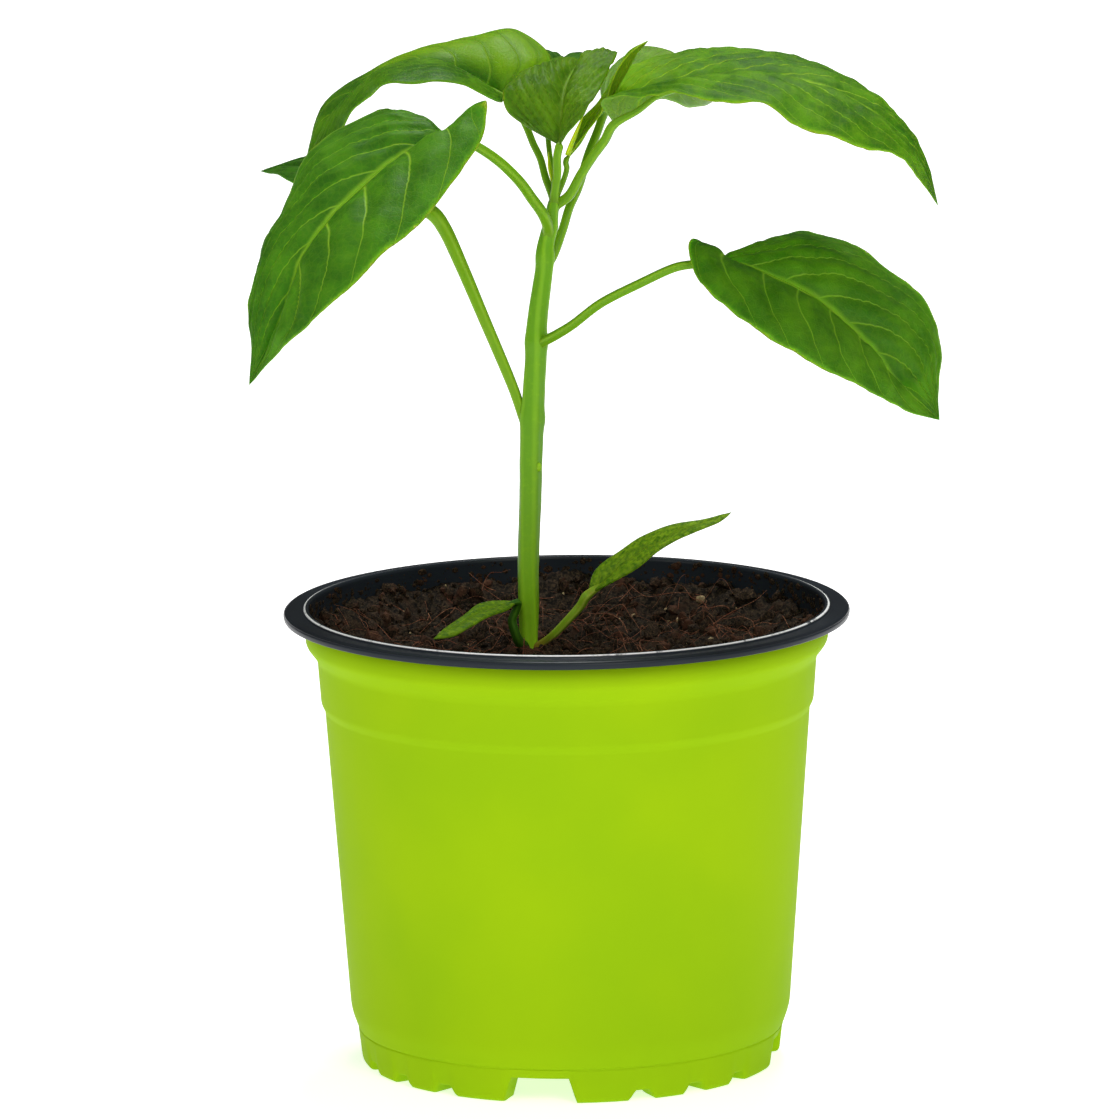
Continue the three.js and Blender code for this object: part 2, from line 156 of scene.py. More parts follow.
class Clay:
    """A mesh while it is modelled. Each corner also carries three numbers that its finish reads."""

    PATTERN = "pattern"

    def __init__(self) -> None:
        """Start with nothing modelled."""
        self.mesh = bmesh.new()
        self.pattern = self.mesh.verts.layers.float_vector.new(self.PATTERN)

    def grid(self, rows: int, columns: int, place: Callable[[float, float], tuple[Vector, Point]],
             finish: Callable[[float], int] = lambda across: 0) -> None:
        """Add a grid and move its corners into a shape.

        Args:
            rows: Faces along the shape.
            columns: Faces across it.
            place: Gives the point and the pattern for a place along and across, each from 0 to 1.
            finish: Gives the finish's number for a place across.
        """
        corners = bmesh.ops.create_grid(self.mesh, x_segments=rows, y_segments=columns, size=0.5)["verts"]
        for face in {face for corner in corners for face in corner.link_faces}:
            face.material_index = finish(face.calc_center_median().y + 0.5)
            face.smooth = True
        for corner in corners:
            spot, pattern = place(corner.co.x + 0.5, corner.co.y + 0.5)
            corner.co = spot
            corner[self.pattern] = pattern
        bmesh.ops.remove_doubles(self.mesh, verts=corners, dist=MERGE)

    def tube(self, line: Rail, radius: Callable[[float, float], float], sides: int, steps: int,
             pattern: Callable[[float, float], Point] = lambda along, turn: (along, turn, 0.0),
             finish: int = 0) -> None:
        """Add a closed round rod along a line.

        Args:
            line: The centre line.
            radius: Gives the radius for a share of the length and an angle.
            sides: Faces round the rod.
            steps: Faces along it.
            pattern: Gives the pattern for a share of the length and an angle.
            finish: The finish's number.
        """
        frames = []
        side = line.heading(0.0).orthogonal().normalized()
        for i in range(steps + 1):
            heading = line.heading(i / steps)
            side = (side - heading * side.dot(heading)).normalized()
            frames.append((line.at(i / steps), side.copy(), heading.cross(side)))

        def place(along: float, across: float) -> tuple[Vector, Point]:
            """Return the point and pattern on the rod. Both ends close to a point."""
            row = round(along * (steps + 2))
            angle = 2 * math.pi * across
            index = min(max(row - 1, 0), steps)
            centre, first, second = frames[index]
            share = index / steps
            size = radius(share, angle) if 0 < row < steps + 2 else 0.0
            spot = centre + first * (size * math.cos(angle)) + second * (size * math.sin(angle))
            return spot, pattern(share, angle)

        self.grid(steps + 2, sides, place, lambda across: finish)

    def lathe(self, profile: Sequence[tuple[float, float]], steps: int) -> None:
        """Add a closed dish: a profile turned about Z.

        Args:
            profile: Radius and height of each point. It starts and ends on the axis.
            steps: Faces round the axis.
        """
        def place(along: float, across: float) -> tuple[Vector, Point]:
            """Return a point of the turned profile."""
            radius, height = profile[round(along * (len(profile) - 1))]
            angle = 2 * math.pi * across
            return Vector((radius * math.cos(angle), radius * math.sin(angle), height)), (0.0, 0.0, 0.0)

        self.grid(len(profile) - 1, steps, place)

    def piece(self, name: str, finishes: Sequence[bpy.types.Material], slot: str,
              stands_for: Sequence[str] = ()) -> bpy.types.Object:
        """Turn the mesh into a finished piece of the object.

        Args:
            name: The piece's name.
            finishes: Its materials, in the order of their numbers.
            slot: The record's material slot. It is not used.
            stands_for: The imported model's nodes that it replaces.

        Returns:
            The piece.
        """
        bmesh.ops.recalc_face_normals(self.mesh, faces=self.mesh.faces)
        data = bpy.data.meshes.new(name)
        self.mesh.to_mesh(data)
        self.mesh.free()
        for finish in finishes:
            data.materials.append(finish)
        made = bpy.data.objects.new(name, data)
        bpy.context.scene.collection.objects.link(made)
        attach(made, BODY)
        if stands_for:
            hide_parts(*stands_for)
        log.info("%s: %d faces", name, len(data.polygons))
        return made


def rounded(outline: Sequence[tuple[float, float, float]], steps: int = 4) -> list[tuple[float, float]]:
    """Round the corners of an outline.

    Args:
        outline: Radius, height and how far back from the corner the rounding starts, for each point.
        steps: Short lines in each rounded corner.

    Returns:
        The rounded outline. Its first and last points stay where they are.
    """
    points = [Vector((radius, height)) for radius, height, _ in outline]
    made = [tuple(points[0])]
    for i in range(1, len(points) - 1):
        corner, back = points[i], outline[i][2]
        if back == 0.0:
            made.append(tuple(corner))
            continue
        start = corner + (points[i - 1] - corner).normalized() * back
        end = corner + (points[i + 1] - corner).normalized() * back
        for j in range(steps + 1):
            share = j / steps
            made.append(tuple(start.lerp(corner, share).lerp(corner.lerp(end, share), share)))
    made.append(tuple(points[-1]))
    return made


# ---------------------------------------------------------------- finishes


class Socket:
    """A value that varies over a surface. Python's operators on it add Math nodes."""

    def __init__(self, paint: "Paint", output: bpy.types.NodeSocket) -> None:
        """Wrap one output socket."""
        self.paint = paint
        self.output = output

    def math(self, operation: str, *values: "Socket | float") -> "Socket":
        """Return the result of a Math node on the values given."""
        return self.paint.node("Math", {"operation": operation}, dict(enumerate(values)))

    def __add__(self, other: "Socket | float") -> "Socket":
        """Return self + other."""
        return self.math("ADD", self, other)

    def __sub__(self, other: "Socket | float") -> "Socket":
        """Return self - other."""
        return self.math("SUBTRACT", self, other)

    def __rsub__(self, other: float) -> "Socket":
        """Return other - self."""
        return self.math("SUBTRACT", other, self)

    def __mul__(self, other: "Socket | float") -> "Socket":
        """Return self * other."""
        return self.math("MULTIPLY", self, other)

    __rmul__ = __mul__

    def __truediv__(self, other: "Socket | float") -> "Socket":
        """Return self / other."""
        return self.math("DIVIDE", self, other)

    def __abs__(self) -> "Socket":
        """Return the size of self without its sign."""
        return self.math("ABSOLUTE", self)


class Paint:
    """The nodes of one material, with a Principled BSDF at their end, or those of the room's light."""

    def __init__(self, block: bpy.types.Material | bpy.types.World) -> None:
        """Start with no nodes.

        Args:
            block: The new material or world they belong to.
        """
        self.block = block
        self.block.use_nodes = True
        self.tree = self.block.node_tree
        self.tree.nodes.clear()

    @classmethod
    def material(cls, name: str) -> "Paint":
        """Return the nodes of a new material."""
        return cls(bpy.data.materials.new(name))

    def node(self, kind: str, settings: dict | None = None, sockets: dict | None = None,
             output: int | str = 0) -> Socket:
        """Add one shader node.

        Args:
            kind: The node's type, without its ShaderNode prefix.
            settings: Its properties, set first. stops are the places and colours of a ramp.
            sockets: Values or links of its inputs, by name or number.
            output: The output to return.

        Returns:
            That output.
        """
        node = self.tree.nodes.new("ShaderNode" + kind)
        for key, value in (settings or {}).items():
            if key == "stops":
                ramp = node.color_ramp
                for place, _ in value[2:]:
                    ramp.elements.new(place)
                for element, (place, shade) in zip(ramp.elements, sorted(value, key=lambda stop: stop[0])):
                    element.position = place
                    element.color = shade
            else:
                setattr(node, key, value)
        for key, value in (sockets or {}).items():
            if isinstance(value, Socket):
                self.tree.links.new(value.output, node.inputs[key])
            else:
                node.inputs[key].default_value = value
        return Socket(self, node.outputs[output])

    def place(self) -> Socket:
        """Return the place on the object, in metres."""
        return self.node("TexCoord", output="Object")

    def out(self) -> Socket:
        """Return the distance from the object's Z axis, in metres."""
        x, y, _ = self.split(self.place())
        squared = x * x + y * y
        return squared.math("SQRT", squared)

    def split(self, vector: Socket) -> list[Socket]:
        """Return the three numbers of a vector."""
        return [self.node("SeparateXYZ", {}, {0: vector}, i) for i in range(3)]

    def pattern(self) -> list[Socket]:
        """Return the three numbers that the mesh carries for its finish."""
        return self.split(self.node("Attribute", {"attribute_name": Clay.PATTERN}, output="Vector"))

    def noise(self, scale: float, detail: float = 3.0, rough: float = 0.5, warp: float = 0.0,
              vector: Socket | None = None) -> Socket:
        """Return soft random values round 0.5.

        Args:
            scale: Lumps in a metre.
            detail: Finer layers on top.
            rough: How strong those are.
            warp: How far the pattern is distorted.
            vector: Where to read it, if not at the place on the object.

        Returns:
            The values.
        """
        return self.node("TexNoise", {}, {"Vector": vector or self.place(), "Scale": scale, "Detail": detail,
                                          "Roughness": rough, "Distortion": warp}, "Fac")

    def cells(self, scale: float, vector: Socket) -> Socket:
        """Return the distance to the nearest edge of a cell, with so many cells in a metre."""
        return self.node("TexVoronoi", {"feature": "DISTANCE_TO_EDGE"}, {"Vector": vector, "Scale": scale},
                         "Distance")

    def rise(self, value: Socket, low: float, high: float, start: float = 0.0, end: float = 1.0) -> Socket:
        """Return a smooth change from start, where value is low, to end, where it is high."""
        return self.node("MapRange", {"interpolation_type": "SMOOTHSTEP"},
                         {"Value": value, "From Min": low, "From Max": high, "To Min": start, "To Max": end})

    def mix(self, share: Socket | float, first: Socket | Colour, second: Socket | Colour,
            how: str = "MIX") -> Socket:
        """Return two colours mixed.

        Args:
            share: How much of the second shows.
            first: The colour underneath.
            second: The colour over it.
            how: The kind of mixing.

        Returns:
            The mixed colour.
        """
        return self.node("Mix", {"data_type": "RGBA", "blend_type": how, "clamp_result": True},
                         {0: share, 6: first, 7: second}, 2)

    def bump(self, height: Socket, depth: float, strength: float = 1.0) -> Socket:
        """Return the normals of a surface with a height pattern that is depth metres deep."""
        return self.node("Bump", {}, {"Height": height, "Distance": depth, "Strength": strength})

    def surface(self, **sockets: "Socket | float | Colour") -> bpy.types.Material:
        """Finish the material.

        Args:
            **sockets: Values or links of the Principled BSDF's inputs, with _ for the spaces in their names.

        Returns:
            The material.
        """
        named = {key.replace("_", " "): value for key, value in sockets.items()}
        self.end("OutputMaterial", self.node("BsdfPrincipled", {}, named))
        return self.block

    def end(self, kind: str, shader: Socket) -> None:
        """Lead a shader to a new output node of that kind."""
        output = self.tree.nodes.new("ShaderNode" + kind)
        self.tree.links.new(shader.output, output.inputs["Surface"])

EDGE_RADIUS = 0.0555  # of the raised edge inside the pot's lip
EDGE_HEIGHT = 0.0978


class Side(Enum):
    """The two skins of a leaf blade."""

    UPPER = "upper"
    UNDER = "under"


@dataclass(frozen=True)
class PlasticFinish:
    """Glossy thermoformed plastic, slightly uneven, with fine scuffs."""

    name: str
    colour: Colour
    deep: Colour  # where the sheet is thicker
    roughness: float
    scuff: float = 0.12
    refraction: float = 1.2
    relief: float = 0.5
    painted_edge_highlight: Colour | None = None  # painted highlight: near-white painted along the lip's inner edge, strongest at the front

    def material(self) -> bpy.types.Material:
        """Return the plastic's material."""
        paint = Paint.material(self.name)
        cloud = paint.noise(26.0, 2.0)
        stretched = paint.node("Mapping", {}, {"Vector": paint.place(), "Scale": (1.0, 1.0, 0.12)})
        drawn = paint.noise(240.0, 4.0, 0.6, vector=stretched)
        scuffs = paint.rise(paint.noise(900.0, 5.0, 0.7, 0.4), 0.6, 0.74)
        colour = paint.mix(paint.rise(cloud, 0.35, 0.7), self.colour, self.deep)
        colour = paint.mix(scuffs * 0.25, colour, self.deep)
        height = cloud * 0.7 + drawn * 0.25 + scuffs * 0.05
        roughness = drawn * self.scuff + scuffs * 0.15 + self.roughness
        # Painted highlight: the lip's raised inner edge is painted near white, in full at the front and
        # fading to an eighth at the back.
        if self.painted_edge_highlight:
            _, y, z = paint.split(paint.place())
            edge = paint.rise(abs(paint.out() - EDGE_RADIUS), 0.00014, 0.00026, 1.0, 0.0)
            edge = edge * paint.rise(z, EDGE_HEIGHT - 0.0003, EDGE_HEIGHT) * paint.rise(drawn, 0.3, 0.45)
            edge = edge * paint.rise(y, 0.012, 0.034, 1.0, 0.12)
            colour = paint.mix(edge, colour, self.painted_edge_highlight)
        return paint.surface(Base_Color=colour, Roughness=roughness, IOR=self.refraction,
                             Normal=paint.bump(height, 0.00012, self.relief))


@dataclass(frozen=True)
class CompostFinish:
    """Peaty compost, or the crumbs, perlite and rootlets that lie in it."""

    name: str
    dark: Colour
    light: Colour
    warm: Colour
    grain: float = 1400.0  # specks in a metre
    depth: float = 0.0005

    def material(self) -> bpy.types.Material:
        """Return the compost's material."""
        paint = Paint.material(self.name)
        patch = paint.noise(150.0, 6.0, 0.62, 0.4)
        speck = paint.noise(self.grain, 8.0, 0.7, 0.8)
        colour = paint.mix(paint.rise(speck, 0.42, 0.68), self.dark, self.light)
        colour = paint.mix(paint.rise(patch, 0.5, 0.66, 0.0, 0.75), colour, self.warm)
        height = patch * 0.5 + speck * 0.5
        return paint.surface(Base_Color=colour, Roughness=paint.rise(speck, 0.3, 0.7, 1.0, 0.8),
                             Specular_IOR_Level=0.12, Normal=paint.bump(height, self.depth, 1.0))


@dataclass(frozen=True)
class StalkFinish:
    """The skin of the stem and the leaf stalks: ribbed, with paler ribs and a satin gloss."""

    name: str
    colour: Colour
    rib: Colour
    low: Colour  # at the end nearer the ground, also used for flecks; on the main stem it is painted light
    low_reach: float = 0.16
    translucence: float = 0.25

    def material(self) -> bpy.types.Material:
        """Return the stalk's material. Its pattern is the share of the length, the ribs, and nothing."""
        paint = Paint.material(self.name)
        along, ribs, _ = paint.pattern()
        fleck = paint.noise(700.0, 5.0, 0.65)
        stretched = paint.node("Mapping", {}, {"Vector": paint.place(), "Scale": (1.0, 1.0, 0.09)})
        streak = paint.noise(1500.0, 4.0, 0.6, vector=stretched)
        colour = paint.mix(paint.rise(ribs + streak * 0.7, 0.7, 1.5, 0.0, 0.8), self.colour, self.rib)
        colour = paint.mix(paint.rise(fleck, 0.52, 0.75, 0.0, 0.3), colour, self.low)
        # Towards the ground the stalk takes its low colour. On the main stem that colour is painted light,
        # brightening the base where shade falls inside the pot.
        colour = paint.mix(paint.rise(along, 0.0, self.low_reach, 0.85, 0.0), colour, self.low)
        height = streak * 0.6 + fleck * 0.4
        return paint.surface(Base_Color=colour, Roughness=paint.rise(fleck, 0.3, 0.7, 0.34, 0.5), IOR=1.28,
                             Normal=paint.bump(height, 0.0001, 0.6), Subsurface_Weight=self.translucence,
                             Subsurface_Radius=(0.5, 1.0, 0.15), Subsurface_Scale=0.0015)


@dataclass(frozen=True)
class Veins:
    """How a blade's side veins run, in shares of its length and of the way from midrib to margin."""

    spacing: float = 0.13
    lean: float = 0.2
    sweep: float = 0.22
    width: float = 0.12  # of the space between two veins
    left_trail: float = 0.0  # how much further they run along the left half
    right_trail: float = 0.0

    def phase(self, along: float, across: float) -> float:
        """Return the place in the run of side veins, which are at whole numbers, on the blade."""
        out = abs(across)
        right = 1.0 if across > 0 else 0.0
        trail = blend(self.left_trail, self.right_trail, right)
        lag = (self.lean + trail) * out + self.sweep * out * out
        return (along - lag) / self.spacing + 0.5 * right

    def painted(self, along: Socket, across: Socket) -> Socket:
        """Return the same phase in a material."""
        out = abs(across)
        right = across.math("GREATER_THAN", across, 0.0)
        trail = right * (self.right_trail - self.left_trail) + self.left_trail
        lag = out * (trail + self.lean) + out * out * self.sweep
        return (along - lag) / self.spacing + right * 0.5


@dataclass(frozen=True)
class BladeFinish:
    """A leaf blade: satin green with paler veins, mottled between them, and matt and pale beneath."""

    name: str
    dark: Colour
    light: Colour
    vein: Colour
    under: Colour
    veins: Veins = Veins()
    gloss: float = 0.36
    vein_strength: float = 0.75
    translucence: float = 0.55
    backlit_tint: Colour | None = None  # painted backlight: a paler tint near the base on one half, where light shines through the blade
    backlit_half: float = 1.0  # 1 for the right half, -1 for the left
    backlit_reach: float = 0.5
    mottling: float = 130.0  # spots in a metre

    def material(self, side: Side) -> bpy.types.Material:
        """Build one skin's material. Its pattern is the places along and across the blade, and its hollows.

        Args:
            side: Which skin it is for.

        Returns:
            The material.
        """
        upper = side is Side.UPPER
        paint = Paint.material(f"{self.name}_{side.value}")
        along, across, raised = paint.pattern()
        out = abs(across)
        drift = paint.noise(60.0, 2.0) - 0.5
        phase = self.veins.painted(along, across) + drift * 0.35
        from_vein = paint.node("Math", {"operation": "PINGPONG"}, {0: phase + 20.0, 1: 0.5}) * 2.0
        width = self.veins.width * (1.15 - out * 0.85)
        side_veins = 1.0 - from_vein.math("MINIMUM", from_vein / width, 1.0)
        starts = paint.rise(along, 0.0, 0.06)
        side_veins = side_veins * starts
        midrib = paint.rise(out, 0.014, 0.06, 1.0, 0.0)
        warped = paint.node("VectorMath", {"operation": "ADD"}, {
            0: paint.place(),
            1: paint.node("VectorMath", {"operation": "SCALE"}, {
                0: paint.node("TexNoise", {}, {"Vector": paint.place(), "Scale": 300.0}, "Color"),
                "Scale": 0.0012})})
        net = paint.rise(paint.cells(620.0, warped), 0.0, 0.13, 1.0, 0.0)
        fine = paint.rise(paint.cells(1700.0, warped), 0.0, 0.16, 1.0, 0.0)
        mottle = paint.noise(self.mottling, 5.0, 0.6, 0.3)
        grain = paint.noise(2600.0, 3.0, 0.6)
        veins = side_veins.math("MAXIMUM", side_veins, midrib)
        if upper:
            colour = paint.mix(paint.rise(mottle, 0.34, 0.68), self.dark, self.light)
            # Painted backlight: one half is tinted paler near the base, where light from behind shines
            # through the blade.
            if self.backlit_tint:
                half = paint.rise(across * self.backlit_half, 0.02, 0.3)
                near = paint.rise(along, self.backlit_reach, self.backlit_reach + 0.18, 1.0, 0.0)
                colour = paint.mix(half * near * paint.rise(mottle, 0.2, 0.6, 1.0, 0.75), colour, self.backlit_tint)
            # Painted shade: the blade is darkened in the hollows along the side veins and the midrib, and
            # towards its base and tip.
            colour = paint.mix(paint.rise(raised, 0.0, 0.5, 0.35, 0.0), colour, self.dark)
            colour = paint.mix(paint.rise(from_vein, 0.0, 0.6, 0.3, 0.0), colour, self.light)
            colour = paint.mix(net * 0.07 + fine * 0.05, colour, self.vein)
            colour = paint.mix(paint.rise(out, 0.93, 1.0, 0.0, 0.4), colour, self.vein)
            colour = paint.mix(veins * self.vein_strength, colour, self.vein)
            height = net * -0.12 + fine * -0.08 + veins * -0.6 + mottle * 0.25 + grain * 0.06
            roughness = paint.rise(mottle, 0.3, 0.7, self.gloss, self.gloss + 0.12)
            normal = paint.bump(height, 0.00022, 0.75)
        else:
            colour = paint.mix(paint.rise(mottle, 0.34, 0.7, 0.0, 0.5), self.under, self.light)
            colour = paint.mix(veins * 0.6 + net * 0.15, colour, self.vein)
            height = net * 0.3 + veins * 0.9 + fine * 0.1
            roughness = paint.rise(mottle, 0.3, 0.7, 0.58, 0.7)
            normal = paint.bump(height, 0.0003, 0.8)
        return paint.surface(Base_Color=colour, Roughness=roughness, IOR=1.19, Normal=normal,
                             Subsurface_Weight=self.translucence, Subsurface_Radius=(0.55, 1.0, 0.12),
                             Subsurface_Scale=0.0009)


POT_GREEN = PlasticFinish("pot_green", tint(154, 193, 14), tint(146, 188, 15), 0.5, refraction=1.08)
# The lining's last colour is a painted highlight, the white line along the inner edge of its lip.
POT_BLACK = PlasticFinish("pot_black", tint(36, 42, 49), tint(27, 32, 38), 0.28, 0.08, 1.24, 0.2,
                          tint(252, 253, 254))
PEAT = CompostFinish("peat", tint(11, 9, 7), tint(66, 53, 38), tint(56, 38, 26))
CRUMB = CompostFinish("peat_crumb", tint(18, 14, 10), tint(80, 62, 44), tint(80, 50, 36), 2600.0, 0.0003)
PERLITE = CompostFinish("perlite", tint(150, 130, 96), tint(206, 190, 152), tint(120, 90, 60), 2600.0, 0.0002)
ROOTLET = CompostFinish("root_fibre", tint(94, 58, 42), tint(172, 122, 94), tint(128, 70, 52), 2200.0, 0.0001)

# The stem's low colour is painted light: a paler green at its base, where the pot's shade falls.
STEM = StalkFinish("stem_skin", tint(104, 162, 18), tint(132, 184, 32), tint(150, 200, 34), 0.5)
STALK = StalkFinish("stalk_skin", tint(106, 158, 18), tint(134, 180, 32), tint(106, 146, 22), 0.1)
PALE_STALK = StalkFinish("pale_stalk_skin", tint(120, 170, 20), tint(146, 190, 38), tint(110, 156, 24), 0.1)
# Painted shade: the left seed leaf's stalk is coloured dark green for the shadow along the stem's left side,
# darkest near the ground.
PAINTED_SHADE_STALK = StalkFinish("painted_shade_stalk_skin", tint(50, 96, 14), tint(76, 124, 22), tint(40, 66, 14), 0.4)
DRIED_STALK = StalkFinish("dried_stalk_skin", tint(128, 166, 30), tint(164, 190, 66), tint(142, 100, 40),
                          0.24)

MATURE = BladeFinish("mature_blade", tint(46, 98, 13), tint(74, 130, 18), tint(138, 180, 44),
                     tint(112, 150, 62), Veins(0.15, 0.12, 0.18, 0.1, right_trail=0.42), gloss=0.42,
                     vein_strength=0.9)
LEVEL_BLADE = BladeFinish("level_blade", tint(36, 82, 12), tint(58, 110, 18), tint(100, 146, 36),
                          tint(116, 150, 78))
DROOPING = BladeFinish("drooping_blade", tint(92, 134, 44), tint(116, 154, 62), tint(140, 172, 84),
                       tint(128, 160, 88))
SHADED = BladeFinish("shaded_blade", tint(54, 104, 13), tint(82, 134, 18), tint(132, 176, 44),
                     tint(110, 146, 70), Veins(0.135, -0.02, 0.22, 0.1, left_trail=0.45), vein_strength=0.9)
# BRIGHT and ARCHED carry a painted backlight tint on one half of the blade near its base.
BRIGHT = BladeFinish("bright_blade", tint(48, 96, 12), tint(80, 130, 16), tint(128, 168, 34),
                     tint(112, 152, 50), Veins(0.13, 0.2, 0.2, 0.09, left_trail=0.5), translucence=0.6,
                     backlit_tint=tint(116, 160, 11), backlit_half=1.0, backlit_reach=0.4)
ARCHED = BladeFinish("arched_blade", tint(50, 100, 12), tint(90, 142, 14), tint(164, 200, 48),
                     tint(112, 150, 60), Veins(0.14, 0.25, 0.25, 0.1, left_trail=0.45), gloss=0.5,
                     backlit_tint=tint(122, 168, 12), backlit_half=-1.0, backlit_reach=0.1)
YOUNG = BladeFinish("young_blade", tint(62, 100, 12), tint(96, 136, 16), tint(116, 154, 26),
                    tint(116, 152, 40), Veins(0.1, 0.4, 0.15, 0.14), gloss=0.42, vein_strength=0.55,
                    translucence=0.5)
TENDER = BladeFinish("tender_blade", tint(92, 140, 14), tint(134, 172, 18), tint(190, 206, 36),
                     tint(128, 168, 30), Veins(0.13, 0.5, 0.3, 0.2), gloss=0.26, translucence=0.6)
SEED = BladeFinish("seed_blade", tint(60, 102, 8), tint(126, 162, 26), tint(126, 156, 28),
                   tint(112, 144, 40), Veins(0.2, 0.3, 0.25, 0.1), gloss=0.4, vein_strength=0.3,
                   translucence=0.3, mottling=1000.0)
BUD = StalkFinish("bud_skin", tint(164, 194, 10), tint(212, 220, 26), tint(140, 172, 20), 0.1, 0.4)

# ---------------------------------------------------------------- the pot


@dataclass
class NurseryPot:
    """A round pot formed from one sheet that is green outside and black inside, with a black rolled lip.

    The sheet's outside line runs from the floor, over the ring of feet and up the wall to the lip.
    """

    height: float = 0.098
    rim_radius: float = 0.060
    lip_drop: float = 0.0023
    neck_radius: float = 0.0556
    neck_bottom: float = 0.0905
    collar_radius: float = 0.0529
    collar_top: float = 0.0873
    collar_bottom: float = 0.0778
    body_top_radius: float = 0.0514
    body_top: float = 0.0762
    body_bottom_radius: float = 0.0467
    body_bottom: float = 0.0115
    skirt_radius: float = 0.0453
    skirt_top: float = 0.0075
    foot_radius: float = 0.0444
    foot_width: float = 0.0068
    floor_height: float = 0.0053
    boss_radius: float = 0.009
    sheet: float = 0.0005  # thickness of each of the two colours
    turn_steps: int = 480
    first_channel: float = -98.7  # degrees round Z
    wide: float = 16.0
    narrow: float = 4.0
    wide_height: float = 0.0053
    narrow_height: float = 0.0021
    wide_flank: float = 0.26  # how far the slanted sides reach, as a share of the channel's half width
    narrow_flank: float = 0.9
    feet: tuple[float, ...] = (18.5, 12.5, 12.5, 18.5)

    def wall_line(self, depth: float) -> list[tuple[float, float, float]]:
        """Give the pot's wall from its skirt to its neck.

        Args:
            depth: How far inside the outer face the line lies.

        Returns:
            Radius, height and rounding of each point.
        """
        line = [
            (self.skirt_radius - 0.00004, self.skirt_top - 0.0004, 0.00015),
            (self.skirt_radius - 0.0002, self.skirt_top, 0.00012),
            (self.skirt_radius + 0.0001, self.skirt_top + 0.0004, 0.00015),
            (self.body_bottom_radius, self.body_bottom, 0.0018),
            (self.body_top_radius, self.body_top, 0.0004),
            (self.collar_radius - 0.0007, self.collar_bottom, 0.0006),
            (self.collar_radius, self.collar_top, 0.0011),
            (self.neck_radius - 0.0003, self.neck_bottom, 0.0009),
        ]
        return [(radius - depth, height, back) for radius, height, back in line]

    def base_line(self, depth: float) -> list[tuple[float, float, float]]:
        """Give the pot's base from its axis to the outside of its feet, at a depth in the sheet."""
        sole = self.foot_radius - self.foot_width
        return [
            (0.0, depth, 0.0),
            (self.boss_radius - depth, depth, 0.0004),
            (self.boss_radius + 0.001 - depth, self.floor_height + depth, 0.0004),
            (sole - 0.001 + depth, self.floor_height + depth, 0.0005),
            (sole + depth, depth, 0.0006),
            (self.foot_radius - depth, depth, 0.0013),
        ]

    def lip_line(self) -> list[tuple[float, float, float]]:
        """Give the rolled lip, from its underside over its crest to the inside of the neck."""
        edge = self.rim_radius
        under = self.height - 0.0012
        drop = self.height - self.lip_drop
        return [
            (self.neck_radius - self.sheet, under, 0.0),
            (edge - 0.0011, under, 0.0002),
            (edge - 0.0009, drop, 0.0002),
            (edge - 0.0002, drop, 0.0003),
            (edge, self.height - 0.0012, 0.0004),
            (edge - 0.0007, self.height - 0.0005, 0.0006),
            (edge - 0.0030, self.height - 0.0006, 0.0008),
            (edge - 0.0041, self.height - 0.0006, 0.0002),
            (edge - 0.0044, self.height, 0.0002),
            (self.neck_radius - 2 * self.sheet + 0.0001, self.height, 0.0002),
            (self.neck_radius - 2 * self.sheet - 0.0001, self.height - 0.0006, 0.0002),
        ]

    def channels(self) -> list[tuple[float, float, float]]:
        """List the channels through the ring of feet.

        Returns:
            The middle angle in degrees, the width in degrees and the height of each.
        """
        made = []
        for quarter in range(4):
            angle = self.first_channel + 90.0 * quarter
            made.append((angle, self.wide, self.wide_height))
            angle += self.wide / 2
            for foot in self.feet[:-1]:
                angle += foot + self.narrow / 2
                made.append((angle, self.narrow, self.narrow_height))
                angle += self.narrow / 2
        return made

    def open_channels(self, clay: Clay) -> None:
        """Lift the sheet where channels run through the ring of feet.

        Args:
            clay: The turned pot.
        """
        channels = self.channels()
        ring = self.foot_radius - self.foot_width - 0.0006
        for corner in clay.mesh.verts:
            x, y, z = corner.co
            if z >= self.skirt_top or math.hypot(x, y) < ring:
                continue
            angle = math.degrees(math.atan2(y, x))
            rise = 0.0
            for middle, width, height in channels:
                away = abs((angle - middle + 180.0) % 360.0 - 180.0) / (width / 2)
                flank = self.wide_flank if width == self.wide else self.narrow_flank
                if away < 1.0 + flank:
                    rise = max(rise, height * min((1.0 + flank - away) / flank, 1.0))
            corner.co.z = rise + z * (1.0 - rise / self.skirt_top)

    def build(self) -> None:
        """Make the green outside and the black inside with its lip."""
        shells = (
            ("pot_outside", 0.0, [(self.neck_radius, self.height - 0.0012, 0.0),
                                  (self.neck_radius - self.sheet, self.height - 0.0012, 0.0)],
             POT_GREEN, "pot_green"),
            ("pot_lining", self.sheet, self.lip_line(), POT_BLACK, "pot_black"),
        )
        for name, depth, top, finish, slot in shells:
            outer = self.base_line(depth) + self.wall_line(depth)
            inner = self.base_line(depth + self.sheet) + self.wall_line(depth + self.sheet)
            clay = Clay()
            clay.lathe(rounded(outer + top + inner[::-1]), self.turn_steps)
            self.open_channels(clay)
            clay.piece(name, [finish.material()], slot, ["pot"])


# ---------------------------------------------------------------- the compost


